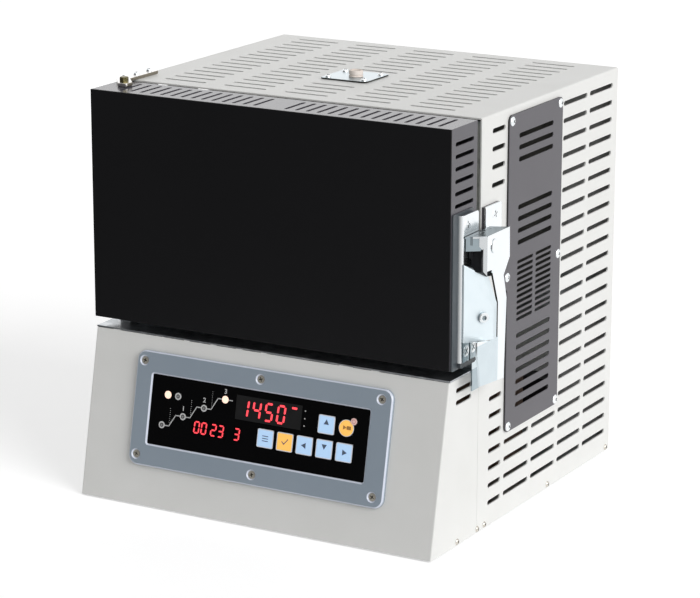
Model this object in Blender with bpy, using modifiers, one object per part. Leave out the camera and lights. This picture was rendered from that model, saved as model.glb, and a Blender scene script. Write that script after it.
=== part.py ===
"""Dental sintering furnace with a side-hinged door, in metres, +Z up.

The model is laid out about the seam between the door side and the shell: x is zero on the
shell's middle plane, y is zero at the shell's front edge and grows to the rear, and z is
zero on the bench. A root empty then moves all of it so that the origin lies at the centre
of the footprint. The door, the door latch, the fan rotor, the mains rocker and the seven
keys move; every other piece is carried by the housing.
"""
import math

import bmesh
import bpy
from mathutils import Matrix, Vector

for old in list(bpy.data.objects):
    bpy.data.objects.remove(old, do_unlink=True)

# Shares that lengths are multiplied by
HALF_SHARE = 0.5
THIRD_SHARE = 1 / 3

# General fits and sheet
GAP = 0.0003
OVERRUN = 0.002
WELD = 0.000001
SHEET = 0.0015
ROUND_SIDES = 20
CORNER_STEPS = 4

# Shell
SHELL_WIDTH = 0.400
SHELL_DEPTH = 0.306
SHELL_TOP = 0.411
SKIRT = 0.0015
SHELL_BEND = 0.003
REAR_INSET = 0.0003

# Base console
BASE_TOP = 0.170
BASE_FOOT_DEPTH = 0.094
BASE_TOP_DEPTH = 0.059

# Door
DOOR_DEPTH = 0.053
DOOR_SEAM = 0.009
DOOR_BOTTOM = 0.180
DOOR_PANEL = 0.0012

# Hinge and latch axes
HINGE_INSET = 0.020
HINGE_AHEAD = 0.032
LATCH_AHEAD = 0.020
LATCH_HEIGHT = 0.296

# Mains rocker, the piece that stands out farthest at the rear
ROCKER_AXIS_IN = 0.001
ROCKER_RADIUS = 0.0107
ROCKER_HIGH = 0.0065
ROCKER_MID = 0.0036
ROCKER_LOW = 0.0022
ROCKER_WIDTH = 0.0150

# Rivet on the latch, the piece that stands out farthest at the side
LATCH_OUT = 0.025
RIVET_HEAD = 0.0022

HALF_WIDTH = SHELL_WIDTH * HALF_SHARE
INNER_WIDTH = HALF_WIDTH - SHEET
DOOR_FRONT = -DOOR_SEAM - DOOR_DEPTH
TRAY_FRONT = DOOR_FRONT + DOOR_PANEL + GAP
LATCH_FACE = HALF_WIDTH + LATCH_OUT
SLANT = math.atan2(BASE_FOOT_DEPTH - BASE_TOP_DEPTH, BASE_TOP)
REAR_FACE = SHELL_DEPTH - REAR_INSET
ROCKER_AXIS_Y = REAR_FACE + ROCKER_AXIS_IN
X_MAX = LATCH_FACE + GAP + RIVET_HEAD
Y_MAX = ROCKER_AXIS_Y + ROCKER_HIGH
X_MID = (X_MAX - HALF_WIDTH) * HALF_SHARE

DOOR_AXIS = Vector((HINGE_INSET - HALF_WIDTH, -HINGE_AHEAD, 0))
LATCH_AXIS = Vector((LATCH_FACE, -LATCH_AHEAD, LATCH_HEIGHT))

FINISHES = {
    "white_powder_coat": ((0.80, 0.80, 0.79), 0.45, 0.0),
    "black_powder_coat": ((0.012, 0.012, 0.013), 0.35, 0.0),
    "dark_grey_coat": ((0.15, 0.15, 0.16), 0.45, 0.0),
    "blue_grey_coat": ((0.25, 0.31, 0.38), 0.40, 0.0),
    "galvanised_steel": ((0.55, 0.56, 0.57), 0.35, 1.0),
    "polished_zinc": ((0.75, 0.76, 0.78), 0.15, 1.0),
    "ceramic_fibre": ((0.82, 0.80, 0.76), 0.95, 0.0),
    "olive_seal": ((0.27, 0.27, 0.22), 0.90, 0.0),
    "alumina": ((0.84, 0.78, 0.74), 0.60, 0.0),
    "heating_alloy": ((0.20, 0.19, 0.19), 0.50, 0.6),
    "gloss_black": ((0.010, 0.010, 0.012), 0.08, 0.0),
    "display_red": ((0.25, 0.01, 0.01), 0.15, 0.0),
    "key_blue": ((0.42, 0.58, 0.75), 0.35, 0.0),
    "key_orange": ((0.85, 0.50, 0.22), 0.35, 0.0),
    "circuit_board": ((0.02, 0.18, 0.07), 0.50, 0.0),
    "black_plastic": ((0.02, 0.02, 0.02), 0.50, 0.0),
    "copper_winding": ((0.50, 0.22, 0.08), 0.40, 0.7),
    "black_rubber": ((0.02, 0.02, 0.02), 0.80, 0.0),
}

MODEL = bpy.data.collections.new("dental_furnace")
CUTTERS = bpy.data.collections.new("cutters")
bpy.context.scene.collection.children.link(MODEL)
bpy.context.scene.collection.children.link(CUTTERS)
REST = {}


def make_material(name):
    colour, roughness, metallic = FINISHES[name]
    made = bpy.data.materials.new(name)
    made.use_nodes = True
    shader = made.node_tree.nodes["Principled BSDF"]
    shader.inputs["Base Color"].default_value = (*colour, 1)
    shader.inputs["Roughness"].default_value = roughness
    shader.inputs["Metallic"].default_value = metallic
    return made


MATERIALS = {name: make_material(name) for name in FINISHES}


def make_carrier(name, rest, parent):
    """An empty at a joint axis, or at the root, given in layout coordinates."""
    empty = bpy.data.objects.new(name, None)
    MODEL.objects.link(empty)
    if parent:
        empty.parent = parent
        empty.location = rest - REST[parent.name]
    REST[name] = rest
    return empty


def place(name, mesh, finish, carrier, at=None):
    """A node. Its mesh is in layout coordinates, or about its own origin where at is given."""
    obj = bpy.data.objects.new(name, mesh)
    mesh.materials.append(MATERIALS[finish])
    MODEL.objects.link(obj)
    obj.parent = carrier
    obj.location = at if at is not None else -REST[carrier.name]
    return obj


def combine(obj, mesh, operation, solver="EXACT"):
    tool = bpy.data.objects.new(obj.name + "_" + operation.lower(), mesh)
    CUTTERS.objects.link(tool)
    tool.parent = obj.parent
    tool.location = obj.location
    tool.hide_render = True
    tool.display_type = "WIRE"
    modifier = obj.modifiers.new(operation.title(), "BOOLEAN")
    modifier.operation = operation
    modifier.solver = solver
    modifier.object = tool


def cut(obj, mesh, solver="EXACT"):
    combine(obj, mesh, "DIFFERENCE", solver)


def fuse(obj, mesh):
    combine(obj, mesh, "UNION")


def boxes(name, spans):
    """One mesh of axis-aligned boxes, each given by its low and high corner."""
    bm = bmesh.new()
    for low, high in spans:
        size = Vector(high) - Vector(low)
        middle = (Vector(high) + Vector(low)) * HALF_SHARE
        where = Matrix.Translation(middle) @ Matrix.Diagonal((*size, 1))
        bmesh.ops.create_cube(bm, size=1, matrix=where)
    return store(bm, name)


def rods(name, runs, sides=ROUND_SIDES):
    """One mesh of round bars, each given by its two ends and its radius."""
    bm = bmesh.new()
    for start, end, radius in runs:
        axis = Vector(end) - Vector(start)
        turn = Vector((0, 0, 1)).rotation_difference(axis).to_matrix().to_4x4()
        where = Matrix.Translation((Vector(start) + Vector(end)) * HALF_SHARE) @ turn
        bmesh.ops.create_cone(bm, cap_ends=True, segments=sides, radius1=radius,
                              radius2=radius, depth=axis.length, matrix=where)
    mesh = store(bm, name)
    mesh.shade_smooth()
    mesh.set_sharp_from_angle(angle=math.radians(40))
    return mesh


def store(bm, name):
    mesh = bpy.data.meshes.new(name)
    bm.to_mesh(mesh)
    bm.free()
    return mesh


def slab(name, outline, thickness, where):
    """A flat outline extruded to both sides of the plane that where puts it on."""
    curve = bpy.data.curves.new(name, "CURVE")
    curve.dimensions = "2D"
    curve.fill_mode = "BOTH"
    curve.extrude = thickness * HALF_SHARE
    spline = curve.splines.new("POLY")
    spline.points.add(len(outline) - 1)
    for point, (u, v) in zip(spline.points, outline):
        point.co = (u, v, 0, 1)
    spline.use_cyclic_u = True
    return curve_mesh(name, curve, where)


def curve_mesh(name, curve, where):
    holder = bpy.data.objects.new(name, curve)
    bpy.context.scene.collection.objects.link(holder)
    graph = bpy.context.evaluated_depsgraph_get()
    solid = bpy.data.meshes.new_from_object(holder.evaluated_get(graph))
    bpy.data.objects.remove(holder, do_unlink=True)
    bm = bmesh.new()
    bm.from_mesh(solid)
    bmesh.ops.remove_doubles(bm, verts=bm.verts, dist=WELD)
    bmesh.ops.transform(bm, matrix=where, verts=bm.verts)
    bmesh.ops.recalc_face_normals(bm, faces=bm.faces)
    return store(bm, name)


def on_side(x):
    """Outline (y, z) on the plane at x."""
    return Matrix(((0, 0, 1, x), (1, 0, 0, 0), (0, 1, 0, 0), (0, 0, 0, 1)))


def on_front(y):
    """Outline (x, z) on the plane at y."""
    return Matrix(((1, 0, 0, 0), (0, 0, -1, y), (0, 1, 0, 0), (0, 0, 0, 1)))


def at_height(z):
    return Matrix.Translation((0, 0, z))


def rounded(low, high, radius):
    """Corner points of a rectangle with rounded corners, anticlockwise."""
    points = []
    corners = ((high[0], low[1], -1), (high[0], high[1], 0), (low[0], high[1], 1),
               (low[0], low[1], 2))
    for u, v, quarter in corners:
        centre_u = u - math.copysign(radius, u - low[0] - radius)
        centre_v = v - math.copysign(radius, v - low[1] - radius)
        for step in range(CORNER_STEPS + 1):
            angle = (quarter + step / CORNER_STEPS) * math.pi * HALF_SHARE
            points.append((centre_u + radius * math.cos(angle),
                           centre_v + radius * math.sin(angle)))
    return points


def turned(name, profile, finish, carrier, centre):
    """A round piece from (radius, z) points listed from the top down, about a Z axis."""
    mesh = bpy.data.meshes.new(name)
    points = [(radius, 0, z) for radius, z in profile]
    edges = [(index, index + 1) for index in range(len(points) - 1)]
    mesh.from_pydata(points, edges, [])
    obj = place(name, mesh, finish, carrier, Vector((*centre, 0)) - REST[carrier.name])
    screw = obj.modifiers.new("Turn", "SCREW")
    screw.steps = ROUND_SIDES
    screw.render_steps = ROUND_SIDES
    screw.use_merge_vertices = True
    screw.merge_threshold = WELD
    screw.use_smooth_shade = True
    return obj


def loft(name, sections):
    """A solid through rings of equally many points, with both end rings filled."""
    bm = bmesh.new()
    rings = [[bm.verts.new(point) for point in ring] for ring in sections]
    for below, above in zip(rings, rings[1:]):
        for index in range(len(below)):
            following = (index + 1) % len(below)
            bm.faces.new((below[index], below[following], above[following], above[index]))
    bm.faces.new(rings[0])
    bm.faces.new(rings[-1])
    bmesh.ops.recalc_face_normals(bm, faces=bm.faces)
    bmesh.ops.triangulate(bm, faces=bm.faces)
    return store(bm, name)


ROOT = make_carrier("furnace_origin", Vector((0, 0, 0)), None)
DOOR = make_carrier("door_axis", DOOR_AXIS, ROOT)
LATCH = make_carrier("latch_axis", LATCH_AXIS, DOOR)
PANEL = make_carrier("console_slope", Vector((0, -BASE_FOOT_DEPTH, 0)), ROOT)
PANEL.rotation_euler = (math.pi * HALF_SHARE - SLANT, 0, 0)
REST["console_slope"] = Vector((0, 0, 0))

# Vent slots, shared by the shell's top and sides
SLOT_WIDTH = 0.0050
TOP_SLOT_ROWS = 16
TOP_SLOT_COLUMNS = 5
TOP_SLOT_FIRST = 0.022
TOP_SLOT_REAR_MARGIN = 0.020
TOP_SLOT_SIDE_MARGIN = 0.0354
TOP_SLOT_LENGTH_SHARE = 0.125
TOP_SLOT_SHIFT = -0.0042
SIDE_SLOT_ROWS = 22
SIDE_SLOT_COLUMNS = 4
SIDE_SLOT_LOWEST = 0.0250
SIDE_SLOT_TOP_MARGIN = 0.0164
SIDE_SLOT_START = 0.0562
SIDE_SLOT_REAR_MARGIN = 0.0125
SIDE_SLOT_GAP = 0.0063
SHORT_SLOT_START = 0.0225
SHORT_SLOT_LENGTH = 0.0270
SHORT_ROWS_LOW = 7
SHORT_ROWS_HIGH = 18

TOP_SLOT_LENGTH = SHELL_WIDTH * TOP_SLOT_LENGTH_SHARE
TOP_SLOT_PITCH = ((SHELL_DEPTH - TOP_SLOT_FIRST - TOP_SLOT_REAR_MARGIN)
                  / (TOP_SLOT_ROWS - 1))
TOP_SLOT_SPACING = ((SHELL_WIDTH - TOP_SLOT_SIDE_MARGIN - TOP_SLOT_SIDE_MARGIN
                     - TOP_SLOT_LENGTH) / (TOP_SLOT_COLUMNS - 1))
SIDE_SLOT_PITCH = ((SHELL_TOP - SIDE_SLOT_LOWEST - SIDE_SLOT_TOP_MARGIN)
                   / (SIDE_SLOT_ROWS - 1))
SIDE_SLOT_SPACING = ((SHELL_DEPTH - SIDE_SLOT_START - SIDE_SLOT_REAR_MARGIN + SIDE_SLOT_GAP)
                     / SIDE_SLOT_COLUMNS)
SIDE_SLOT_LENGTH = SIDE_SLOT_SPACING - SIDE_SLOT_GAP

# Thermocouple flange on the top
FLANGE_X = -0.0055
FLANGE_DEPTH_SHARE = 0.3987
FLANGE_Y = SHELL_DEPTH * FLANGE_DEPTH_SHARE
FLANGE_WIDTH = 0.053
FLANGE_LENGTH = 0.050
FLANGE_CORNER = 0.003
FLANGE_SLOT_ROWS = (4, 5, 6, 7)
PROBE_X = -0.002
PROBE_AHEAD = 0.004
PROBE_Y = FLANGE_Y - PROBE_AHEAD
PROBE_RADIUS = 0.0035
PROBE_HEAD_RADIUS = 0.00725
PROBE_HEAD_HEIGHT = 0.010
PROBE_REACH = 0.022

# Dark cover plate over the slots of the right side
PLATE_FRONT = 0.054
PLATE_REAR = 0.1712
PLATE_LOW = 0.088
PLATE_TOP_MARGIN = 0.007
PLATE_HIGH = SHELL_TOP - PLATE_TOP_MARGIN
PLATE_HEIGHT = PLATE_HIGH - PLATE_LOW
PLATE_STAND = 0.0024
PLATE_CORNER = 0.006
PLATE_TAB_SHARES = (0.4715, 0.5285)
PLATE_TAB_OUT = 0.0075
PLATE_TAB_SLOPE = 0.005
PLATE_SLOT_START = 0.0750
PLATE_SLOT_END = 0.1502
PLATE_SLOT_WIDTH = 0.0048
PLATE_SLOT_PITCH_SHARE = 0.0371
PLATE_SLOT_SHARES = (0.854, 0.5934, 0.0741)
PLATE_SLOT_COUNTS = (3, 4, 7)
PLATE_FINE_ROWS = 11
PLATE_FINE_WIDTH = 0.0033
PLATE_FINE_PITCH_SHARE = 0.01823
PLATE_FINE_LOW_SHARE = 0.3494
PLATE_FINE_BRIDGE = 0.0060


def top_slots():
    spans = []
    middle = (TOP_SLOT_COLUMNS - 1) * HALF_SHARE
    for row in range(TOP_SLOT_ROWS):
        y = TOP_SLOT_FIRST + TOP_SLOT_PITCH * row
        for column in range(TOP_SLOT_COLUMNS):
            if column == middle and row in FLANGE_SLOT_ROWS:
                continue
            x = TOP_SLOT_SHIFT + TOP_SLOT_SPACING * (column - middle)
            spans.append((
                (x - TOP_SLOT_LENGTH * HALF_SHARE, y - SLOT_WIDTH * HALF_SHARE,
                 SHELL_TOP - SHEET - OVERRUN),
                (x + TOP_SLOT_LENGTH * HALF_SHARE, y + SLOT_WIDTH * HALF_SHARE,
                 SHELL_TOP + OVERRUN)))
    return spans


def behind_plate(y, z):
    covered = PLATE_LOW < z < PLATE_HIGH
    return covered and y < PLATE_REAR


def side_slots(side):
    """Slots of one side wall; those that the cover plate hides are left out."""
    faces = sorted((side * (INNER_WIDTH - OVERRUN), side * (HALF_WIDTH + OVERRUN)))
    spans = []
    for row in range(SIDE_SLOT_ROWS):
        z = SIDE_SLOT_LOWEST + SIDE_SLOT_PITCH * row
        starts = [(SIDE_SLOT_START + SIDE_SLOT_SPACING * column, SIDE_SLOT_LENGTH)
                  for column in range(SIDE_SLOT_COLUMNS)]
        if row < SHORT_ROWS_LOW or row >= SHORT_ROWS_HIGH:
            starts.append((SHORT_SLOT_START, SHORT_SLOT_LENGTH))
        for start, length in starts:
            if side > 0 and start > SHORT_SLOT_START and behind_plate(start, z):
                continue
            spans.append(((faces[0], start, z - SLOT_WIDTH * HALF_SHARE),
                          (faces[1], start + length, z + SLOT_WIDTH * HALF_SHARE)))
    return spans


def shell_bends(radius):
    """Points round both upper bends of the shell, from right to left."""
    points = []
    for side, quarter in ((1, 0), (-1, 1)):
        for step in range(CORNER_STEPS):
            angle = (quarter + step / (CORNER_STEPS - 1)) * math.pi * HALF_SHARE
            points.append((side * (HALF_WIDTH - SHELL_BEND) + radius * math.cos(angle),
                           SHELL_TOP - SHELL_BEND + radius * math.sin(angle)))
    return points


def outer_cover():
    """Top and both sides bent from one sheet, with the rows of vent slots."""
    under = SHELL_TOP - SHEET
    outline = [(-HALF_WIDTH, SKIRT), (-INNER_WIDTH, SKIRT)]
    outline += reversed(shell_bends(SHELL_BEND - SHEET))
    outline += [(INNER_WIDTH, SKIRT), (HALF_WIDTH, SKIRT)]
    outline += shell_bends(SHELL_BEND)
    mesh = slab("outer_cover", outline, SHELL_DEPTH, on_front(SHELL_DEPTH * HALF_SHARE))
    cover = place("outer_cover", mesh, "white_powder_coat", ROOT)
    cut(cover, boxes("vents", top_slots() + side_slots(1) + side_slots(-1)), "MANIFOLD")
    hole = ((PROBE_X, PROBE_Y, under - OVERRUN), (PROBE_X, PROBE_Y, SHELL_TOP + OVERRUN),
            PROBE_RADIUS + GAP + GAP)
    cut(cover, rods("probe_hole", [hole]), "MANIFOLD")


def side_plate():
    """Shallow dished plate that stands off the right wall, with its own slots."""
    inner = HALF_WIDTH + GAP
    outer = HALF_WIDTH + PLATE_STAND
    outline = rounded((PLATE_FRONT, PLATE_LOW), (PLATE_REAR, PLATE_HIGH), PLATE_CORNER)
    tab_low, tab_high = [PLATE_LOW + PLATE_HEIGHT * share for share in PLATE_TAB_SHARES]
    tab = [(PLATE_FRONT, tab_high + PLATE_TAB_SLOPE), (PLATE_FRONT - PLATE_TAB_OUT, tab_high),
           (PLATE_FRONT - PLATE_TAB_OUT, tab_low), (PLATE_FRONT, tab_low - PLATE_TAB_SLOPE)]
    turn = 3 * (CORNER_STEPS + 1)
    outline = outline[:turn] + tab + outline[turn:]
    middle = (inner + outer) * HALF_SHARE
    mesh = slab("side_cover", outline, outer - inner, on_side(middle))
    plate = place("side_cover", mesh, "dark_grey_coat", ROOT)
    spans = [((inner - OVERRUN, PLATE_FRONT + SHEET, PLATE_LOW + SHEET),
              (outer - SHEET, PLATE_REAR - SHEET, PLATE_HIGH - SHEET))]
    cut(plate, boxes("plate_hollow", spans))
    slots = []
    for low_share, count in zip(PLATE_SLOT_SHARES, PLATE_SLOT_COUNTS):
        for index in range(count):
            z = PLATE_LOW + PLATE_HEIGHT * (low_share + PLATE_SLOT_PITCH_SHARE * index)
            slots.append((PLATE_SLOT_START, PLATE_SLOT_END, z, PLATE_SLOT_WIDTH))
    bridge = (PLATE_SLOT_START + PLATE_SLOT_END) * HALF_SHARE
    for index in range(PLATE_FINE_ROWS):
        z = PLATE_LOW + PLATE_HEIGHT * (PLATE_FINE_LOW_SHARE + PLATE_FINE_PITCH_SHARE * index)
        slots.append((PLATE_SLOT_START, bridge - PLATE_FINE_BRIDGE * HALF_SHARE, z,
                      PLATE_FINE_WIDTH))
        slots.append((bridge + PLATE_FINE_BRIDGE * HALF_SHARE, PLATE_SLOT_END, z,
                      PLATE_FINE_WIDTH))
    cut(plate, boxes("plate_slots", [((inner - OVERRUN, start, z - width * HALF_SHARE),
                                      (outer + OVERRUN, end, z + width * HALF_SHARE))
                                     for start, end, z, width in slots]))


# Furnace chamber, its insulation and the casing round it, below the shell's top
CHAMBER_WIDTH_SHARE = 0.35
WALL_SHARE = 0.19
CHAMBER_DEPTH_SHARE = 0.5229
REAR_SHARE = 0.3268
DIVIDER_GAP = 0.020
CHAMBER_FLOOR_SHARE = 0.2262
CHAMBER_HEIGHT_SHARE = 0.4525
ROOF_SHARE = 0.1810
COLLAR_WALL = 0.012
SEAL_WIDTH = 0.012
SEAL_LEFT_INSET = 0.043
SEAL_RIGHT_INSET = 0.005
SEAL_MARGIN = 0.006
HEARTH_THICKNESS = 0.006
HEARTH_MARGIN = 0.006
HEARTH_FRONT = 0.016
HEARTH_REAR = 0.010

DIVIDER_HEIGHT = BASE_TOP + DIVIDER_GAP
FURNACE_HEIGHT = SHELL_TOP - DIVIDER_HEIGHT
CHAMBER_WIDTH = SHELL_WIDTH * CHAMBER_WIDTH_SHARE
CHAMBER_DEPTH = SHELL_DEPTH * CHAMBER_DEPTH_SHARE
CHAMBER_FLOOR = DIVIDER_HEIGHT + FURNACE_HEIGHT * CHAMBER_FLOOR_SHARE
CHAMBER_HEIGHT = FURNACE_HEIGHT * CHAMBER_HEIGHT_SHARE
ROOF_THICKNESS = FURNACE_HEIGHT * ROOF_SHARE
WALL_THICKNESS = SHELL_WIDTH * WALL_SHARE
REAR_THICKNESS = SHELL_DEPTH * REAR_SHARE
SEAL_LEFT = HALF_WIDTH - SEAL_LEFT_INSET
SEAL_RIGHT = HALF_WIDTH - SEAL_RIGHT_INSET
FRONT_SHEET_Y = GAP + SHEET
CASING_FRONT = FRONT_SHEET_Y + GAP
MUFFLE_HALF = CHAMBER_WIDTH * HALF_SHARE + WALL_THICKNESS
CASING_HALF = MUFFLE_HALF + GAP + SHEET
CASING_LOW = DIVIDER_HEIGHT + SHEET + GAP
MUFFLE_LOW = CASING_LOW + SHEET + GAP
MUFFLE_HIGH = CHAMBER_FLOOR + CHAMBER_HEIGHT + ROOF_THICKNESS
MUFFLE_FRONT = CASING_FRONT + GAP
MUFFLE_REAR = MUFFLE_FRONT + CHAMBER_DEPTH + REAR_THICKNESS
CHAMBER_HALF = CHAMBER_WIDTH * HALF_SHARE
CHAMBER_TOP = CHAMBER_FLOOR + CHAMBER_HEIGHT
COLLAR_HALF = CHAMBER_HALF + COLLAR_WALL

# Heating elements
HOT_RADIUS = 0.002
TERMINAL_SHARE = 2.0
ELEMENT_INSET = 0.012
ELEMENT_SPREAD_SHARE = 0.225
ELEMENT_PITCH_SHARE = 0.3625
ELEMENT_FIRST_SHARE = 0.2375
ELEMENT_CLEARANCE = 0.018
ELEMENT_TERMINAL = 0.018
ELEMENT_TAPER = 0.010
ELEMENT_ARC_STEPS = 6
ELEMENT_SPREAD = CHAMBER_DEPTH * ELEMENT_SPREAD_SHARE
ELEMENT_PITCH = CHAMBER_DEPTH * ELEMENT_PITCH_SHARE
ELEMENT_FIRST = CHAMBER_DEPTH * ELEMENT_FIRST_SHARE


def front_frame():
    """Front sheet of the shell with the furnace mouth."""
    span = ((-INNER_WIDTH + GAP, GAP, BASE_TOP - SHEET),
            (INNER_WIDTH - GAP, FRONT_SHEET_Y, SHELL_TOP - SHELL_BEND))
    frame = place("front_frame", boxes("front_frame", [span]), "galvanised_steel", ROOT)
    mouth = ((-COLLAR_HALF - GAP, -OVERRUN, CHAMBER_FLOOR - COLLAR_WALL - GAP),
             (COLLAR_HALF + GAP, FRONT_SHEET_Y + OVERRUN, CHAMBER_TOP + COLLAR_WALL + GAP))
    cut(frame, boxes("mouth", [mouth]))


def seal_frame():
    """Fibre rope frame that the closed door leans on, clear of the hinge corner's sweep."""
    low = DOOR_BOTTOM + SEAL_MARGIN
    high = SHELL_TOP - SEAL_MARGIN
    ring = ((-SEAL_LEFT, -DOOR_SEAM + GAP, low), (SEAL_RIGHT, 0, high))
    seal = place("seal_frame", boxes("seal_frame", [ring]), "olive_seal", ROOT)
    inside = ((-SEAL_LEFT + SEAL_WIDTH, -DOOR_SEAM - OVERRUN, low + SEAL_WIDTH),
              (SEAL_RIGHT - SEAL_WIDTH, OVERRUN, high - SEAL_WIDTH))
    cut(seal, boxes("seal_inside", [inside]))


def mouth_collar():
    low = CHAMBER_FLOOR - COLLAR_WALL
    high = CHAMBER_TOP + COLLAR_WALL
    ring = ((-COLLAR_HALF, -DOOR_SEAM + GAP, low), (COLLAR_HALF, CASING_FRONT, high))
    collar = place("mouth_collar", boxes("mouth_collar", [ring]), "alumina", ROOT)
    inside = ((-CHAMBER_HALF, -DOOR_SEAM - OVERRUN, CHAMBER_FLOOR),
              (CHAMBER_HALF, CASING_FRONT + OVERRUN, CHAMBER_TOP))
    cut(collar, boxes("collar_inside", [inside]))


def element_places():
    places = []
    for side in (-1, 1):
        for index in range(2):
            x = side * (CHAMBER_HALF - ELEMENT_INSET)
            places.append((x, ELEMENT_FIRST + ELEMENT_PITCH * index))
    return places


def element_holes(radius, low, high):
    runs = [((PROBE_X, PROBE_Y, low), (PROBE_X, PROBE_Y, high), PROBE_RADIUS + GAP)]
    for x, y in element_places():
        for leg in (y, y + ELEMENT_SPREAD):
            runs.append(((x, leg, low), (x, leg, high), radius))
    return runs


def inner_casing():
    """Sheet box round the insulation, open to the front sheet."""
    high = MUFFLE_HIGH + GAP + SHEET
    rear = MUFFLE_REAR + GAP + SHEET
    span = ((-CASING_HALF, CASING_FRONT, CASING_LOW), (CASING_HALF, rear, high))
    casing = place("inner_casing", boxes("inner_casing", [span]), "galvanised_steel", ROOT)
    inside = ((-CASING_HALF + SHEET, CASING_FRONT - OVERRUN, CASING_LOW + SHEET),
              (CASING_HALF - SHEET, rear - SHEET, high - SHEET))
    cut(casing, boxes("casing_inside", [inside]))
    holes = element_holes(HOT_RADIUS * TERMINAL_SHARE + GAP, MUFFLE_HIGH - OVERRUN,
                          high + OVERRUN)
    cut(casing, rods("casing_holes", holes))


def insulation_muffle():
    """Fibre board block with the chamber in it."""
    span = ((-MUFFLE_HALF, MUFFLE_FRONT, MUFFLE_LOW), (MUFFLE_HALF, MUFFLE_REAR, MUFFLE_HIGH))
    block = place("insulation_muffle", boxes("insulation_muffle", [span]), "ceramic_fibre",
                  ROOT)
    chamber = ((-CHAMBER_HALF, MUFFLE_FRONT - OVERRUN, CHAMBER_FLOOR),
               (CHAMBER_HALF, MUFFLE_FRONT + CHAMBER_DEPTH, CHAMBER_TOP))
    cut(block, boxes("chamber", [chamber]))
    holes = element_holes(HOT_RADIUS * TERMINAL_SHARE + GAP, CHAMBER_TOP - OVERRUN,
                          MUFFLE_HIGH + OVERRUN)
    cut(block, rods("roof_holes", holes))


def hearth_plate():
    span = ((-CHAMBER_HALF + HEARTH_MARGIN, HEARTH_FRONT, CHAMBER_FLOOR + GAP),
            (CHAMBER_HALF - HEARTH_MARGIN, MUFFLE_FRONT + CHAMBER_DEPTH - HEARTH_REAR,
             CHAMBER_FLOOR + GAP + HEARTH_THICKNESS))
    place("hearth_plate", boxes("hearth_plate", [span]), "alumina", ROOT)


def heating_elements():
    """Four U-shaped elements; the thick terminals hang in the roof."""
    radius = ELEMENT_SPREAD * HALF_SHARE
    top = MUFFLE_HIGH + ELEMENT_TERMINAL
    bend = CHAMBER_FLOOR + ELEMENT_CLEARANCE + radius
    leg = [(0, top, TERMINAL_SHARE), (0, CHAMBER_TOP, TERMINAL_SHARE),
           (0, CHAMBER_TOP - ELEMENT_TAPER, 1)]
    arc = []
    for step in range(ELEMENT_ARC_STEPS + 1):
        angle = math.pi * (1 + step / ELEMENT_ARC_STEPS)
        arc.append((radius + radius * math.cos(angle), bend + radius * math.sin(angle), 1))
    back = [(ELEMENT_SPREAD, z, share) for _, z, share in reversed(leg)]
    curve = bpy.data.curves.new("heating_element", "CURVE")
    curve.dimensions = "3D"
    curve.bevel_depth = HOT_RADIUS
    curve.bevel_resolution = 2
    curve.use_fill_caps = True
    points = leg + arc + back
    spline = curve.splines.new("POLY")
    spline.points.add(len(points) - 1)
    for point, (y, z, share) in zip(spline.points, points):
        point.co = (0, y, z, 1)
        point.radius = share
    mesh = curve_mesh("heating_element", curve, Matrix.Identity(4))
    mesh.shade_smooth()
    for index, (x, y) in enumerate(element_places()):
        place(f"heating_element_{index + 1}", mesh, "heating_alloy", ROOT, Vector((x, y, 0)))


def thermocouple():
    """Flange plate on the top, with the ceramic sheath standing in it."""
    low = (FLANGE_X - FLANGE_WIDTH * HALF_SHARE, FLANGE_Y - FLANGE_LENGTH * HALF_SHARE)
    high = (FLANGE_X + FLANGE_WIDTH * HALF_SHARE, FLANGE_Y + FLANGE_LENGTH * HALF_SHARE)
    seat = SHELL_TOP + GAP
    mesh = slab("thermocouple_plate", rounded(low, high, FLANGE_CORNER), SHEET,
                at_height(seat + SHEET * HALF_SHARE))
    plate = place("thermocouple_plate", mesh, "polished_zinc", ROOT)
    hole = ((PROBE_X, PROBE_Y, SHELL_TOP - OVERRUN),
            (PROBE_X, PROBE_Y, seat + SHEET + OVERRUN), PROBE_RADIUS + GAP)
    cut(plate, rods("plate_hole", [hole]))
    head = seat + SHEET + GAP
    profile = [(0, head + PROBE_HEAD_HEIGHT), (PROBE_HEAD_RADIUS, head + PROBE_HEAD_HEIGHT),
               (PROBE_HEAD_RADIUS, head), (PROBE_RADIUS, head),
               (PROBE_RADIUS, CHAMBER_TOP - PROBE_REACH), (0, CHAMBER_TOP - PROBE_REACH)]
    turned("thermocouple_sheath", profile, "alumina", ROOT, (PROBE_X, PROBE_Y))


def bay_divider():
    """Shelf between the electronics bay and the furnace, held between the walls."""
    span = ((-INNER_WIDTH + GAP, CASING_FRONT, DIVIDER_HEIGHT),
            (INNER_WIDTH - GAP, REAR_FACE - SHEET - GAP, DIVIDER_HEIGHT + SHEET))
    place("bay_divider", boxes("bay_divider", [span]), "galvanised_steel", ROOT)


# Rear wall and what it carries
REAR_SLOT_ROWS = 8
REAR_SLOT_COLUMNS = 3
REAR_SLOT_SPACING_SHARE = 0.275
REAR_SLOT_LENGTH_SHARE = 0.2
REAR_SLOT_ABOVE = 0.045
REAR_SLOT_BELOW = 0.053
FAN_SHARE = -0.5
FAN_X = HALF_WIDTH * FAN_SHARE
FAN_Z = 0.092
FAN_SIZE = 0.119
FAN_DEPTH = 0.025
FAN_RADIUS = 0.0565
FAN_HUB_RADIUS = 0.020
FAN_HUB_DEPTH = 0.017
FAN_BLADES = 5
FAN_BLADE_ANGLE = math.radians(38)
FAN_BLADE_WIDTH = 0.020
FAN_BLADE_THICKNESS = 0.0016
FAN_TIP_GAP = 0.002
FAN_STRUT = 0.006
FAN_BACK = 0.003
GUARD_THICKNESS = 0.0012
GUARD_BARS = 9
GUARD_BAR = 0.003
INLET_SHARE = 0.6
INLET_X = HALF_WIDTH * INLET_SHARE
INLET_Z = 0.060
INLET_WIDTH = 0.036
INLET_HEIGHT = 0.030
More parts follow.
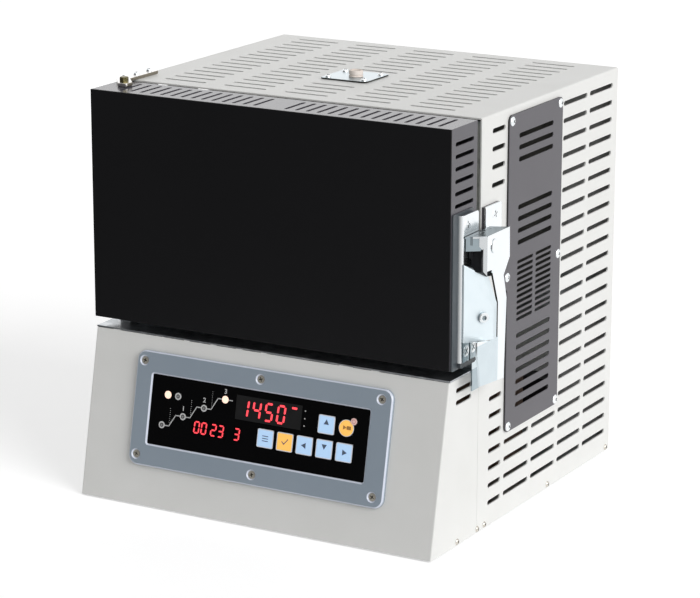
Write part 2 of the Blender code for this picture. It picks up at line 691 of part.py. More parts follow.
INLET_RIM = 0.003
INLET_LIP = 0.0025
INLET_DEPTH = 0.026
INLET_WALL = 0.003
INLET_PIN_WIDTH = 0.002
INLET_PIN_HEIGHT = 0.006
INLET_PIN_SPACING = 0.007
INLET_PIN_STEP = 0.004
SWITCH_SHARE = 0.3
SWITCH_X = HALF_WIDTH * SWITCH_SHARE
SWITCH_Z = 0.060
SWITCH_WIDTH = 0.0190
SWITCH_HEIGHT = 0.0290
SWITCH_RIM = 0.002
SWITCH_LIP = 0.002
SWITCH_DEPTH = 0.020
SWITCH_PLAY = 0.0006
SWITCH_FLOOR = 0.003


def rear_slots():
    spans = []
    middle = (REAR_SLOT_COLUMNS - 1) * HALF_SHARE
    reach = SHELL_WIDTH * REAR_SLOT_LENGTH_SHARE * HALF_SHARE
    low = DIVIDER_HEIGHT + REAR_SLOT_ABOVE
    pitch = (SHELL_TOP - REAR_SLOT_BELOW - low) / (REAR_SLOT_ROWS - 1)
    for row in range(REAR_SLOT_ROWS):
        z = low + pitch * row
        for column in range(REAR_SLOT_COLUMNS):
            x = SHELL_WIDTH * REAR_SLOT_SPACING_SHARE * (column - middle)
            spans.append(((x - reach, REAR_FACE - SHEET - OVERRUN,
                           z - SLOT_WIDTH * HALF_SHARE),
                          (x + reach, REAR_FACE + OVERRUN, z + SLOT_WIDTH * HALF_SHARE)))
    return spans


def rear_panel():
    span = ((-INNER_WIDTH + GAP, REAR_FACE - SHEET, SKIRT + GAP),
            (INNER_WIDTH - GAP, REAR_FACE, SHELL_TOP - SHELL_BEND))
    panel = place("rear_panel", boxes("rear_panel", [span]), "white_powder_coat", ROOT)
    spans = rear_slots()
    for x, z, width, height in ((INLET_X, INLET_Z, INLET_WIDTH, INLET_HEIGHT),
                                (SWITCH_X, SWITCH_Z, SWITCH_WIDTH, SWITCH_HEIGHT)):
        spans.append(((x - width * HALF_SHARE - GAP, REAR_FACE - SHEET - OVERRUN,
                       z - height * HALF_SHARE - GAP),
                      (x + width * HALF_SHARE + GAP, REAR_FACE + OVERRUN,
                       z + height * HALF_SHARE + GAP)))
    cut(panel, boxes("rear_openings", spans))
    vent = ((FAN_X, REAR_FACE - SHEET - OVERRUN, FAN_Z), (FAN_X, REAR_FACE + OVERRUN, FAN_Z),
            FAN_RADIUS)
    cut(panel, rods("fan_hole", [vent]))


def around(x, z, width, height, near, far):
    """Corners of a block centred on (x, z) between two depths."""
    return ((x - width * HALF_SHARE, near, z - height * HALF_SHARE),
            (x + width * HALF_SHARE, far, z + height * HALF_SHARE))


FAN_REAR = REAR_FACE - SHEET - GAP
FAN_FRONT = FAN_REAR - FAN_DEPTH
FAN = make_carrier("fan_axis", Vector((FAN_X, FAN_FRONT, FAN_Z)), ROOT)
ROCKER = make_carrier("rocker_axis", Vector((SWITCH_X, ROCKER_AXIS_Y, SWITCH_Z)), ROOT)


def fan_frame():
    """Square frame with a round duct; four arms carry the motor disc at its rear."""
    mesh = boxes("fan_frame", [around(FAN_X, FAN_Z, FAN_SIZE, FAN_SIZE, FAN_FRONT, FAN_REAR)])
    frame = place("fan_frame", mesh, "black_plastic", ROOT)
    duct = ((FAN_X, FAN_FRONT - OVERRUN, FAN_Z), (FAN_X, FAN_REAR + OVERRUN, FAN_Z), FAN_RADIUS)
    cut(frame, rods("fan_duct", [duct]))
    near = FAN_REAR - FAN_BACK
    across = FAN_RADIUS + FAN_RADIUS + OVERRUN
    fuse(frame, boxes("fan_arm_level",
                      [around(FAN_X, FAN_Z, across, FAN_STRUT, near, FAN_REAR)]))
    fuse(frame, boxes("fan_arm_upright",
                      [around(FAN_X, FAN_Z, FAN_STRUT, across, near, FAN_REAR)]))
    fuse(frame, rods("fan_disc", [((FAN_X, near, FAN_Z), (FAN_X, FAN_REAR, FAN_Z),
                                   FAN_HUB_RADIUS)]))


def fan_rotor():
    """Hub with tilted blades, turning about the duct's axis."""
    rear = FAN_REAR - FAN_BACK - GAP - GAP
    front = rear - FAN_HUB_DEPTH
    hub = [((FAN_X, front, FAN_Z), (FAN_X, rear, FAN_Z), FAN_HUB_RADIUS)]
    rotor = place("fan_rotor", rods("fan_rotor", hub), "black_plastic", FAN)
    middle = Vector((FAN_X, (front + rear) * HALF_SHARE, FAN_Z))
    reach = FAN_RADIUS - FAN_TIP_GAP
    root = FAN_HUB_RADIUS * HALF_SHARE
    for index in range(FAN_BLADES):
        spin = Matrix.Rotation(math.tau * index / FAN_BLADES, 4, "Y")
        tilt = Matrix.Rotation(FAN_BLADE_ANGLE, 4, "X")
        shift = Matrix.Translation(((reach + root) * HALF_SHARE, 0, 0))
        shape = Matrix.Diagonal((reach - root, FAN_BLADE_THICKNESS, FAN_BLADE_WIDTH, 1))
        bm = bmesh.new()
        bmesh.ops.create_cube(bm, size=1,
                              matrix=Matrix.Translation(middle) @ spin @ shift @ tilt @ shape)
        fuse(rotor, store(bm, "fan_blade"))


def fan_guard():
    """Pressed guard plate with level bars over the duct."""
    near = REAR_FACE + GAP
    far = near + GUARD_THICKNESS
    mesh = boxes("fan_guard", [around(FAN_X, FAN_Z, FAN_SIZE, FAN_SIZE, near, far)])
    guard = place("fan_guard", mesh, "galvanised_steel", ROOT)
    pitch = (FAN_RADIUS + FAN_RADIUS) / GUARD_BARS
    spans = []
    for index in range(GUARD_BARS):
        offset = pitch * (index - (GUARD_BARS - 1) * HALF_SHARE)
        chord = math.sqrt(FAN_RADIUS ** 2 - offset ** 2)
        for side in (-1, 1):
            ends = sorted((side * GUARD_BAR * HALF_SHARE, side * chord))
            spans.append(((FAN_X + ends[0], near - GAP * HALF_SHARE,
                           FAN_Z + offset - (pitch - GUARD_BAR) * HALF_SHARE),
                          (FAN_X + ends[1], far + OVERRUN,
                           FAN_Z + offset + (pitch - GUARD_BAR) * HALF_SHARE)))
    cut(guard, boxes("guard_gaps", spans))


def power_inlet():
    """Appliance inlet with three flat pins in its recess."""
    seat = REAR_FACE + GAP
    flange = around(INLET_X, INLET_Z, INLET_WIDTH + INLET_RIM + INLET_RIM,
                    INLET_HEIGHT + INLET_RIM + INLET_RIM, seat, seat + INLET_LIP)
    body = around(INLET_X, INLET_Z, INLET_WIDTH, INLET_HEIGHT,
                  REAR_FACE - INLET_DEPTH, seat + INLET_LIP * HALF_SHARE)
    inlet = place("power_inlet", boxes("power_inlet", [flange]), "black_plastic", ROOT)
    fuse(inlet, boxes("inlet_body", [body]))
    floor = REAR_FACE - INLET_DEPTH + INLET_WALL
    recess = around(INLET_X, INLET_Z, INLET_WIDTH - INLET_WALL - INLET_WALL,
                    INLET_HEIGHT - INLET_WALL - INLET_WALL, floor, seat + INLET_LIP + OVERRUN)
    cut(inlet, boxes("inlet_recess", [recess]))
    pins = []
    for offset, rise in ((-1, 0), (0, 1), (1, 0)):
        pins.append(around(INLET_X + offset * INLET_PIN_SPACING,
                           INLET_Z + rise * INLET_PIN_STEP, INLET_PIN_WIDTH, INLET_PIN_HEIGHT,
                           floor - INLET_WALL * HALF_SHARE, REAR_FACE - INLET_PIN_STEP))
    fuse(inlet, boxes("inlet_pins", pins))


def power_switch():
    """Switch body in the rear wall and its rocker, tilted with the lower edge out."""
    seat = REAR_FACE + GAP
    flange = around(SWITCH_X, SWITCH_Z, SWITCH_WIDTH + SWITCH_RIM + SWITCH_RIM,
                    SWITCH_HEIGHT + SWITCH_RIM + SWITCH_RIM, seat, seat + SWITCH_LIP)
    body = around(SWITCH_X, SWITCH_Z, SWITCH_WIDTH, SWITCH_HEIGHT,
                  REAR_FACE - SWITCH_DEPTH, seat + SWITCH_LIP * HALF_SHARE)
    frame = place("switch_frame", boxes("switch_frame", [flange]), "black_plastic", ROOT)
    fuse(frame, boxes("switch_body", [body]))
    high = ROCKER_RADIUS + SWITCH_PLAY
    well = around(SWITCH_X, SWITCH_Z, ROCKER_WIDTH + GAP + GAP, high + high,
                  REAR_FACE - SWITCH_DEPTH + SWITCH_FLOOR, seat + SWITCH_LIP + OVERRUN)
    cut(frame, boxes("switch_well", [well]))
    low_edge = math.sqrt(ROCKER_RADIUS ** 2 - ROCKER_HIGH ** 2)
    high_edge = math.sqrt(ROCKER_RADIUS ** 2 - ROCKER_LOW ** 2)
    outline = [(ROCKER_HIGH, -low_edge), (ROCKER_MID, 0), (ROCKER_LOW, high_edge),
               (-ROCKER_MID, high_edge * HALF_SHARE), (-ROCKER_MID, -low_edge * HALF_SHARE)]
    outline = [(ROCKER_AXIS_Y + y, SWITCH_Z + z) for y, z in outline]
    mesh = slab("switch_rocker", outline, ROCKER_WIDTH, on_side(SWITCH_X))
    place("switch_rocker", mesh, "black_plastic", ROCKER)


# Floor, feet and the larger parts of the electronics bay
PAN_HEIGHT = 0.008
PAN_FRONT = 0.090
FOOT_RADIUS = 0.012
FOOT_SIDE_INSET = 0.035
FOOT_FRONT = 0.055
FOOT_REAR_INSET = 0.041
CORE_WIDTH = 0.100
CORE_DEPTH = 0.060
CORE_HEIGHT = 0.095
COIL_WIDTH = 0.056
COIL_DEPTH = 0.104
COIL_HEIGHT = 0.060
CORE_SHARE = 0.5
CORE_REAR_INSET = 0.136
CORE_X = HALF_WIDTH * CORE_SHARE
CORE_Y = SHELL_DEPTH - CORE_REAR_INSET
RELAY_WIDTH = 0.045
RELAY_DEPTH = 0.080
RELAY_HEIGHT = 0.060
RELAY_STEP = 0.012
RELAY_SHARE = 0.025
RELAY_REAR_INSET = 0.116
RELAY_X = HALF_WIDTH * RELAY_SHARE
RELAY_Y = SHELL_DEPTH - RELAY_REAR_INSET


def bottom_pan():
    """Floor of the bay: a tray turned down at its edges, inside both skirts."""
    half = INNER_WIDTH - GAP
    rear = REAR_FACE - SHEET - GAP
    span = ((-half, -PAN_FRONT, SKIRT + GAP), (half, rear, PAN_HEIGHT + SHEET))
    pan = place("bottom_pan", boxes("bottom_pan", [span]), "galvanised_steel", ROOT)
    under = ((-half + SHEET, -PAN_FRONT + SHEET, -OVERRUN), (half - SHEET, rear - SHEET,
                                                          PAN_HEIGHT))
    cut(pan, boxes("pan_hollow", [under]))


def feet():
    side = HALF_WIDTH - FOOT_SIDE_INSET
    rear = SHELL_DEPTH - FOOT_REAR_INSET
    spots = ((-side, -FOOT_FRONT), (side, -FOOT_FRONT), (-side, rear), (side, rear))
    mesh = rods("foot", [((0, 0, 0), (0, 0, PAN_HEIGHT - GAP), FOOT_RADIUS)])
    for index, (x, y) in enumerate(spots):
        place(f"foot_{index + 1}", mesh, "black_rubber", ROOT, Vector((x, y, 0)))


def bay_parts():
    """Transformer and contactor on the floor of the bay."""
    floor = PAN_HEIGHT + SHEET + GAP
    core = ((CORE_X - CORE_WIDTH * HALF_SHARE, CORE_Y - CORE_DEPTH * HALF_SHARE, floor),
            (CORE_X + CORE_WIDTH * HALF_SHARE, CORE_Y + CORE_DEPTH * HALF_SHARE,
             floor + CORE_HEIGHT))
    middle = floor + CORE_HEIGHT * HALF_SHARE
    coil = ((CORE_X - COIL_WIDTH * HALF_SHARE, CORE_Y - COIL_DEPTH * HALF_SHARE,
             middle - COIL_HEIGHT * HALF_SHARE),
            (CORE_X + COIL_WIDTH * HALF_SHARE, CORE_Y + COIL_DEPTH * HALF_SHARE,
             middle + COIL_HEIGHT * HALF_SHARE))
    block = place("transformer", boxes("transformer", [core]), "copper_winding", ROOT)
    fuse(block, boxes("coil", [coil]))
    low = (RELAY_X - RELAY_WIDTH * HALF_SHARE, RELAY_Y - RELAY_DEPTH * HALF_SHARE, floor)
    high = (RELAY_X + RELAY_WIDTH * HALF_SHARE, RELAY_Y + RELAY_DEPTH * HALF_SHARE,
            floor + RELAY_HEIGHT)
    relay = place("power_relay", boxes("power_relay", [(low, high)]), "black_plastic", ROOT)
    raised = ((low[0], low[1] + RELAY_STEP, floor + RELAY_STEP),
              (high[0], high[1] - RELAY_STEP, high[2] + RELAY_STEP))
    fuse(relay, boxes("relay_top", [raised]))


# Console: slanted housing, bezel, control panel, displays and keys.
# On the slope x runs to the right, s up the slope and n out of it.
BASE_SLOTS = 2
BASE_SLOT_PITCH = 0.012
BASE_SLOT_TOP_MARGIN = 0.013
BASE_SLOT_LENGTH = 0.0315
BASE_SLOT_REAR = 0.0150
BEZEL_X = -0.0007
BEZEL_S = 0.0995
BEZEL_WIDTH = 0.2898
BEZEL_HEIGHT = 0.115
BEZEL_THICKNESS = 0.004
BEZEL_CORNER = 0.010
WINDOW_X = -0.0025
WINDOW_S = 0.09975
WINDOW_WIDTH = 0.247
WINDOW_HEIGHT = 0.0705
PANEL_FACE = 0.003
PANEL_BACK = 0.006
BOARD_THICKNESS = 0.0016
BOARD_MARGIN = 0.006
DISPLAY_SINK = 0.0003
DISPLAY_DEPTH = 0.002
KEY_SIZE = 0.018
KEY_CORNER = 0.0015
KEY_HEIGHT = 0.0024
KEY_PROUD = 0.0003
KEY_TRAVEL = 0.0005
START_RADIUS = 0.0082
START_SIDES = 24
KEY_FIRST_X = 0.0087
KEY_PITCH = 0.022
KEY_ROW_S = 0.0900
KEY_UPPER_S = 0.1138
MAIN_LEFT = -0.0280
MAIN_RIGHT = 0.0465
MAIN_LOW = 0.1040
MAIN_HIGH = 0.1280
TIME_LEFT = -0.0750
TIME_RIGHT = -0.0370
STEP_LEFT = -0.0270
STEP_RIGHT = -0.0190
TIME_LOW = 0.0824
TIME_HIGH = 0.0965
DISPLAYS = (
    ("main_display", (MAIN_LEFT, MAIN_LOW), (MAIN_RIGHT, MAIN_HIGH)),
    ("time_display", (TIME_LEFT, TIME_LOW), (TIME_RIGHT, TIME_HIGH)),
    ("step_display", (STEP_LEFT, TIME_LOW), (STEP_RIGHT, TIME_HIGH)),
)
KEYS = (
    ("key_program", 0, KEY_ROW_S, "key_blue"),
    ("key_confirm", 1, KEY_ROW_S, "key_orange"),
    ("key_left", 2, KEY_ROW_S, "key_blue"),
    ("key_down", 3, KEY_ROW_S, "key_blue"),
    ("key_right", 4, KEY_ROW_S, "key_blue"),
    ("key_up", 3, KEY_UPPER_S, "key_blue"),
    ("key_start", 4, KEY_UPPER_S, "key_orange"),
)


def slope_y(z):
    """Front face of the console at a height."""
    return -BASE_FOOT_DEPTH + z * math.tan(SLANT)


def base_housing():
    """Slanted front and both slotted cheeks bent from one sheet, open behind and above."""
    top = BASE_TOP - SHEET - GAP
    outline = [(slope_y(SKIRT), SKIRT), (-GAP, SKIRT), (-GAP, top), (slope_y(top), top)]
    mesh = slab("base_housing", outline, SHELL_WIDTH, on_side(0))
    housing = place("base_housing", mesh, "white_powder_coat", ROOT)
    inset = SHEET / math.cos(SLANT)
    low = -OVERRUN
    high = BASE_TOP + OVERRUN
    inside = [(slope_y(low) + inset, low), (OVERRUN, low), (OVERRUN, high),
              (slope_y(high) + inset, high)]
    cut(housing, slab("housing_inside", inside, INNER_WIDTH + INNER_WIDTH, on_side(0)))
    half = (WINDOW_WIDTH * HALF_SHARE, WINDOW_HEIGHT * HALF_SHARE)
    window = boxes("panel_opening", [((WINDOW_X - half[0], WINDOW_S - half[1],
                                       -SHEET - OVERRUN),
                                      (WINDOW_X + half[0], WINDOW_S + half[1], OVERRUN))])
    slope = (Matrix.Translation((0, -BASE_FOOT_DEPTH, 0))
             @ Matrix.Rotation(math.pi * HALF_SHARE - SLANT, 4, "X"))
    window.transform(slope)
    cut(housing, window)
    slots = []
    for index in range(BASE_SLOTS):
        z = BASE_TOP - BASE_SLOT_TOP_MARGIN - BASE_SLOT_PITCH * index
        slots.append(((-HALF_WIDTH - OVERRUN, -BASE_SLOT_REAR - BASE_SLOT_LENGTH,
                       z - SLOT_WIDTH * HALF_SHARE),
                      (HALF_WIDTH + OVERRUN, -BASE_SLOT_REAR, z + SLOT_WIDTH * HALF_SHARE)))
    cut(housing, boxes("base_slots", slots))


def base_top_plate():
    """Lid of the console; its thin front edge shows under the door."""
    span = ((-HALF_WIDTH, -BASE_TOP_DEPTH, BASE_TOP - SHEET), (HALF_WIDTH, -GAP, BASE_TOP))
    place("base_top_plate", boxes("base_top_plate", [span]), "galvanised_steel", ROOT)


def panel_bezel():
    half = (BEZEL_WIDTH * HALF_SHARE, BEZEL_HEIGHT * HALF_SHARE)
    outline = rounded((BEZEL_X - half[0], BEZEL_S - half[1]),
                      (BEZEL_X + half[0], BEZEL_S + half[1]), BEZEL_CORNER)
    mesh = slab("panel_bezel", outline, BEZEL_THICKNESS,
                at_height(GAP + BEZEL_THICKNESS * HALF_SHARE))
    bezel = place("panel_bezel", mesh, "blue_grey_coat", PANEL)
    opening = (WINDOW_WIDTH * HALF_SHARE, WINDOW_HEIGHT * HALF_SHARE)
    cut(bezel, boxes("bezel_window", [((WINDOW_X - opening[0], WINDOW_S - opening[1], -OVERRUN),
                                       (WINDOW_X + opening[0], WINDOW_S + opening[1],
                                        BEZEL_THICKNESS + OVERRUN))]))


def key_centre(column, s):
    return KEY_FIRST_X + KEY_PITCH * column, s


def control_panel():
    """Black panel body in the window, with pockets for the displays and the keys."""
    half = (WINDOW_WIDTH * HALF_SHARE - GAP, WINDOW_HEIGHT * HALF_SHARE - GAP)
    span = ((WINDOW_X - half[0], WINDOW_S - half[1], -PANEL_BACK),
            (WINDOW_X + half[0], WINDOW_S + half[1], PANEL_FACE))
    panel = place("control_panel", boxes("control_panel", [span]), "gloss_black", PANEL)
    pockets = []
    depth = PANEL_FACE - DISPLAY_SINK - DISPLAY_DEPTH - GAP
    for _, low, high in DISPLAYS:
        pockets.append(((low[0] - GAP, low[1] - GAP, depth),
                        (high[0] + GAP, high[1] + GAP, PANEL_FACE + OVERRUN)))
    reach = KEY_SIZE * HALF_SHARE + GAP
    floor = PANEL_FACE + KEY_PROUD - KEY_HEIGHT - KEY_TRAVEL - GAP
    for name, column, s, _ in KEYS:
        x, s = key_centre(column, s)
        if name == "key_start":
            start = rods("start_pocket", [((x, s, floor), (x, s, PANEL_FACE + OVERRUN),
                                           START_RADIUS + GAP)], START_SIDES)
            continue
        pockets.append(((x - reach, s - reach, floor),
                        (x + reach, s + reach, PANEL_FACE + OVERRUN)))
    cut(panel, boxes("panel_pockets", pockets))
    cut(panel, start)


def displays():
    top = PANEL_FACE - DISPLAY_SINK
    for name, low, high in DISPLAYS:
        span = ((*low, top - DISPLAY_DEPTH), (*high, top))
        place(name, boxes(name, [span]), "display_red", PANEL)


def keys():
    """Seven key caps, each about its own centre on the slope."""
    reach = KEY_SIZE * HALF_SHARE
    outline = rounded((-reach, -reach), (reach, reach), KEY_CORNER)
    n = PANEL_FACE + KEY_PROUD - KEY_HEIGHT * HALF_SHARE
    half = Vector((0, 0, KEY_HEIGHT * HALF_SHARE))
    for name, column, s, finish in KEYS:
        mesh = slab(name, outline, KEY_HEIGHT, at_height(0))
        if name == "key_start":
            mesh = rods(name, [(-half, half, START_RADIUS)], START_SIDES)
        place(name, mesh, finish, PANEL, Vector((*key_centre(column, s), n)))


def control_board():
    half = (WINDOW_WIDTH * HALF_SHARE - BOARD_MARGIN, WINDOW_HEIGHT * HALF_SHARE - BOARD_MARGIN)
    top = -PANEL_BACK - GAP
    span = ((WINDOW_X - half[0], WINDOW_S - half[1], top - BOARD_THICKNESS),
            (WINDOW_X + half[0], WINDOW_S + half[1], top))
    place("control_board", boxes("control_board", [span]), "circuit_board", PANEL)


# Door pieces
DOOR_SLOT_WIDTH = 0.004
DOOR_SLOT_INSET = 0.0178
DOOR_SLOT_MIDDLE = 0.0175
DOOR_SLOTS = 15
DOOR_SLOT_PITCH = (HALF_WIDTH - DOOR_SLOT_INSET - DOOR_SLOT_MIDDLE) / (DOOR_SLOTS - 1)
DOOR_SLOT_FRONT = 0.009
DOOR_SLOT_REAR = 0.007
DOOR_SIDE_SLOTS = 6
DOOR_SIDE_PITCH = 0.0118
DOOR_SIDE_TOP_MARGIN = 0.0155
PLUG_PLAY = 0.0035
PLUG_REACH = 0.006
BLOCK_MARGIN = 0.040
STRAP_WIDTH = 0.012
STRAP_THICKNESS = 0.006
STRAP_REAR = 0.027
STRAP_LOW_REAR = 0.004
STRAP_END = 0.006
PIN_RADIUS = 0.003
PIN_HEAD_RADIUS = 0.0052
PIN_HEAD_HEIGHT = 0.0045
PIN_REACH = 0.014


def door_slots():
    """Through both the top and the bottom, and through both upper ends."""
    front = DOOR_FRONT + DOOR_SLOT_FRONT
    rear = -DOOR_SEAM - DOOR_SLOT_REAR
    spans = []
    for side in (-1, 1):
        for index in range(DOOR_SLOTS):
            x = side * (HALF_WIDTH - DOOR_SLOT_INSET - DOOR_SLOT_PITCH * index)
            if abs(x - DOOR_AXIS.x) < DOOR_SLOT_PITCH * HALF_SHARE:
                continue
            for z in (DOOR_BOTTOM, SHELL_TOP):
                spans.append(((x - DOOR_SLOT_WIDTH * HALF_SHARE, front, z - SHEET - OVERRUN),
                              (x + DOOR_SLOT_WIDTH * HALF_SHARE, rear, z + SHEET + OVERRUN)))
        for index in range(DOOR_SIDE_SLOTS):
            z = SHELL_TOP - DOOR_SIDE_TOP_MARGIN - DOOR_SIDE_PITCH * index
            x = side * HALF_WIDTH
            spans.append(((x - SHEET - OVERRUN, front, z - DOOR_SLOT_WIDTH * HALF_SHARE),
                          (x + SHEET + OVERRUN, rear, z + DOOR_SLOT_WIDTH * HALF_SHARE)))
    return spans


def door_shell():
    """Dark grey door tray, open to the rear, with slots in its narrow faces."""
    span = ((-HALF_WIDTH, TRAY_FRONT, DOOR_BOTTOM), (HALF_WIDTH, -DOOR_SEAM, SHELL_TOP))
    shell = place("door_shell", boxes("door_shell", [span]), "dark_grey_coat", DOOR)
    inside = ((-INNER_WIDTH, TRAY_FRONT + SHEET, DOOR_BOTTOM + SHEET),
              (INNER_WIDTH, -DOOR_SEAM + OVERRUN, SHELL_TOP - SHEET))
    cut(shell, boxes("door_hollow", [inside]))
    cut(shell, boxes("door_slots", door_slots()))
    hole = ((DOOR_AXIS.x, DOOR_AXIS.y, DOOR_BOTTOM - OVERRUN),
            (DOOR_AXIS.x, DOOR_AXIS.y, SHELL_TOP + OVERRUN), PIN_RADIUS + GAP)
    cut(shell, rods("pivot_holes", [hole]))


def door_front_panel():
    """Black panel bonded over the whole front of the tray."""
    span = ((-HALF_WIDTH, DOOR_FRONT, DOOR_BOTTOM),
            (HALF_WIDTH, DOOR_FRONT + DOOR_PANEL, SHELL_TOP))
    place("door_front_panel", boxes("door_front_panel", [span]), "black_powder_coat", DOOR)


def plug_faces(play):
    """Low and high corner, in x and z, of the plug that enters the furnace mouth."""
    half = CHAMBER_HALF - PLUG_PLAY + play
    low = CHAMBER_FLOOR + PLUG_PLAY - play
    return (-half, low), (half, CHAMBER_TOP - PLUG_PLAY + play)


def door_back_plate():
    half = INNER_WIDTH - GAP
    span = ((-half, -DOOR_SEAM - SHEET, DOOR_BOTTOM + SHEET + GAP),
            (half, -DOOR_SEAM, SHELL_TOP - SHEET - GAP))
    plate = place("door_back_plate", boxes("door_back_plate", [span]), "galvanised_steel", DOOR)
    low, high = plug_faces(GAP)
    opening = ((low[0], -DOOR_SEAM - SHEET - OVERRUN, low[1]),
               (high[0], -DOOR_SEAM + OVERRUN, high[1]))
    cut(plate, boxes("plug_opening", [opening]))


def door_insulation():
    """Fibre block in the door, with the plug that closes the chamber."""
    low, high = plug_faces(0)
    rear = -DOOR_SEAM - SHEET - GAP
    block = ((low[0] - BLOCK_MARGIN, TRAY_FRONT + SHEET + GAP, low[1] - BLOCK_MARGIN),
             (high[0] + BLOCK_MARGIN, rear, high[1] + BLOCK_MARGIN))
    body = place("door_insulation", boxes("door_insulation", [block]), "ceramic_fibre", DOOR)
    plug = ((low[0], rear - OVERRUN, low[1]), (high[0], PLUG_REACH, high[1]))
    fuse(body, boxes("door_plug", [plug]))


def hinge_strap(name, low, rear):
    half = STRAP_WIDTH * HALF_SHARE
    span = ((DOOR_AXIS.x - half, DOOR_AXIS.y - STRAP_END, low),
            (DOOR_AXIS.x + half, rear, low + STRAP_THICKNESS))
    strap = place(name, boxes(name, [span]), "polished_zinc", ROOT)
    hole = ((DOOR_AXIS.x, DOOR_AXIS.y, low - OVERRUN),
            (DOOR_AXIS.x, DOOR_AXIS.y, low + STRAP_THICKNESS + OVERRUN), PIN_RADIUS + GAP)
    cut(strap, rods("strap_hole", [hole]))


def hinges():
    """Straps above and below the door, with the pins it turns on."""
    upper = SHELL_TOP + GAP
    lower = BASE_TOP + GAP
    hinge_strap("hinge_strap_top", upper, STRAP_REAR)
    hinge_strap("hinge_strap_bottom", lower, -STRAP_LOW_REAR)
    seat = upper + STRAP_THICKNESS + GAP
    centre = (DOOR_AXIS.x, DOOR_AXIS.y)
    profile = [(0, seat + PIN_HEAD_HEIGHT), (PIN_HEAD_RADIUS, seat + PIN_HEAD_HEIGHT),
               (PIN_HEAD_RADIUS, seat), (PIN_RADIUS, seat),
               (PIN_RADIUS, SHELL_TOP - PIN_REACH), (0, SHELL_TOP - PIN_REACH)]
    turned("hinge_pin_top", profile, "polished_zinc", ROOT, centre)
    low = lower + STRAP_THICKNESS + GAP
    high = DOOR_BOTTOM - GAP
    profile = [(0, DOOR_BOTTOM + PIN_REACH), (PIN_RADIUS, DOOR_BOTTOM + PIN_REACH),
               (PIN_RADIUS, high), (PIN_HEAD_RADIUS, high), (PIN_HEAD_RADIUS, low),
               (PIN_RADIUS, low), (PIN_RADIUS, lower), (0, lower)]
    turned("hinge_pin_bottom", profile, "polished_zinc", ROOT, centre)


# Latch: a bracket on the door, a lever on a rivet, and a keeper on the shell.
# Outlines are (y, z) as seen from the right.
BRACKET_STAND = 0.007
BRACKET_SHEET = 0.002
BRACKET_FRONT = -0.0510
BRACKET_REAR = -0.0170
BRACKET_LOW = 0.1815
BRACKET_HIGH = 0.3280
KEEPER_STAND = 0.005
KEEPER_FRONT = 0.001
KEEPER_REAR = 0.034
KEEPER_LOW = 0.262
KEEPER_HIGH = 0.326
CATCH_Y = 0.004
CATCH_Z = 0.276
CATCH_RADIUS = 0.0025
CATCH_LENGTH = 0.017
RIVET_RADIUS = 0.003
RIVET_HEAD_RADIUS = 0.007
CHEEK_SHEET = 0.002
CHEEK = (
    (-0.0348, 0.3080), (0.0115, 0.3080), (0.0123, 0.2790), (0.0000, 0.2635),
    (0.0068, 0.2400), (0.0032, 0.1615), (-0.0520, 0.1665), (-0.0525, 0.2045),
    (-0.0205, 0.2055), (-0.0205, 0.2350), (-0.0145, 0.2390), (-0.0250, 0.2738),
    (-0.0348, 0.2742),
)
LEVER_DEPTH = 0.017
LEVER_HIGH = 0.308
LEVER_FRONT = -0.0477
LEVER_REAR = 0.0030
LEVER_FACE_LOW = 0.294
LEVER_NECK_LOW = 0.274
LEVER_NECK_WIDTH = 0.0050
INNER_CHEEK_LOW = 0.286
INNER_CHEEK_FRONT = -0.040
INNER_CHEEK_REAR = -0.004
HOOK_ROOT = 0.006
HOOK_PLAY = 0.0005
HOOK_THICKNESS = 0.0026
HOOK_OPEN = math.radians(10)
HOOK_DEEP = math.radians(23)
HOOK_INNER = 0.0125
HOOK_STEPS = 4
GUARD_INNER_X = 0.0083
GUARD_INNER_Y = -0.0495
GUARD_SHEET = 0.0015
GUARD_LOW = 0.206
GUARD_MID = 0.236
GUARD_HIGH = 0.2815
GUARD_BEND_Y = -0.0224
GUARD_EDGE_Y = -0.0170
GUARD_EDGE_MID = 0.2405
GUARD_TOP_IN = 0.0050
GUARD_TOP_Z = 0.2695
GUARD_TOP_STRIP = 0.0055
GUARD_TOP_EDGE_Z = 0.2716
GUARD_BOLT_SHARE = 0.64
GUARD_BOLT_Z = 0.229
GUARD_BOLT_RADIUS = 0.005
GUARD_BOLT_HEIGHT = 0.003
GUARD_SHANK_RADIUS = 0.0022
GUARD_SHANK = 0.006


def stand_off(name, stand, front, rear, low, high, carrier):
    """A strip standing off a wall on two turned legs."""
    inner = HALF_WIDTH + GAP
    outer = HALF_WIDTH + stand
    mesh = boxes(name, [((inner, front, low), (outer, rear, high))])
    bracket = place(name, mesh, "polished_zinc", carrier)
    hollow = ((inner - OVERRUN, front + BRACKET_SHEET, low - OVERRUN),
              (outer - BRACKET_SHEET, rear - BRACKET_SHEET, high + OVERRUN))
    cut(bracket, boxes(name + "_hollow", [hollow]))
    return bracket


def catch_and_rivet():
    """Catch pin on the keeper, and the rivet that the lever turns on."""
    start = HALF_WIDTH + KEEPER_STAND + GAP
    mesh = rods("keeper_pin", [((start, CATCH_Y, CATCH_Z), (start + CATCH_LENGTH, CATCH_Y,
                                                           CATCH_Z), CATCH_RADIUS)])
    place("keeper_pin", mesh, "polished_zinc", ROOT)
    start = HALF_WIDTH + BRACKET_STAND + GAP
    y, z = LATCH_AXIS.y, LATCH_AXIS.z
    shank = ((start, y, z), (LATCH_FACE + GAP + OVERRUN * HALF_SHARE, y, z), RIVET_RADIUS)
    rivet = place("latch_pivot_pin", rods("latch_pivot_pin", [shank]), "polished_zinc", DOOR)
    head = ((LATCH_FACE + GAP, y, z), (LATCH_FACE + GAP + RIVET_HEAD, y, z), RIVET_HEAD_RADIUS)
    fuse(rivet, rods("rivet_head", [head]))


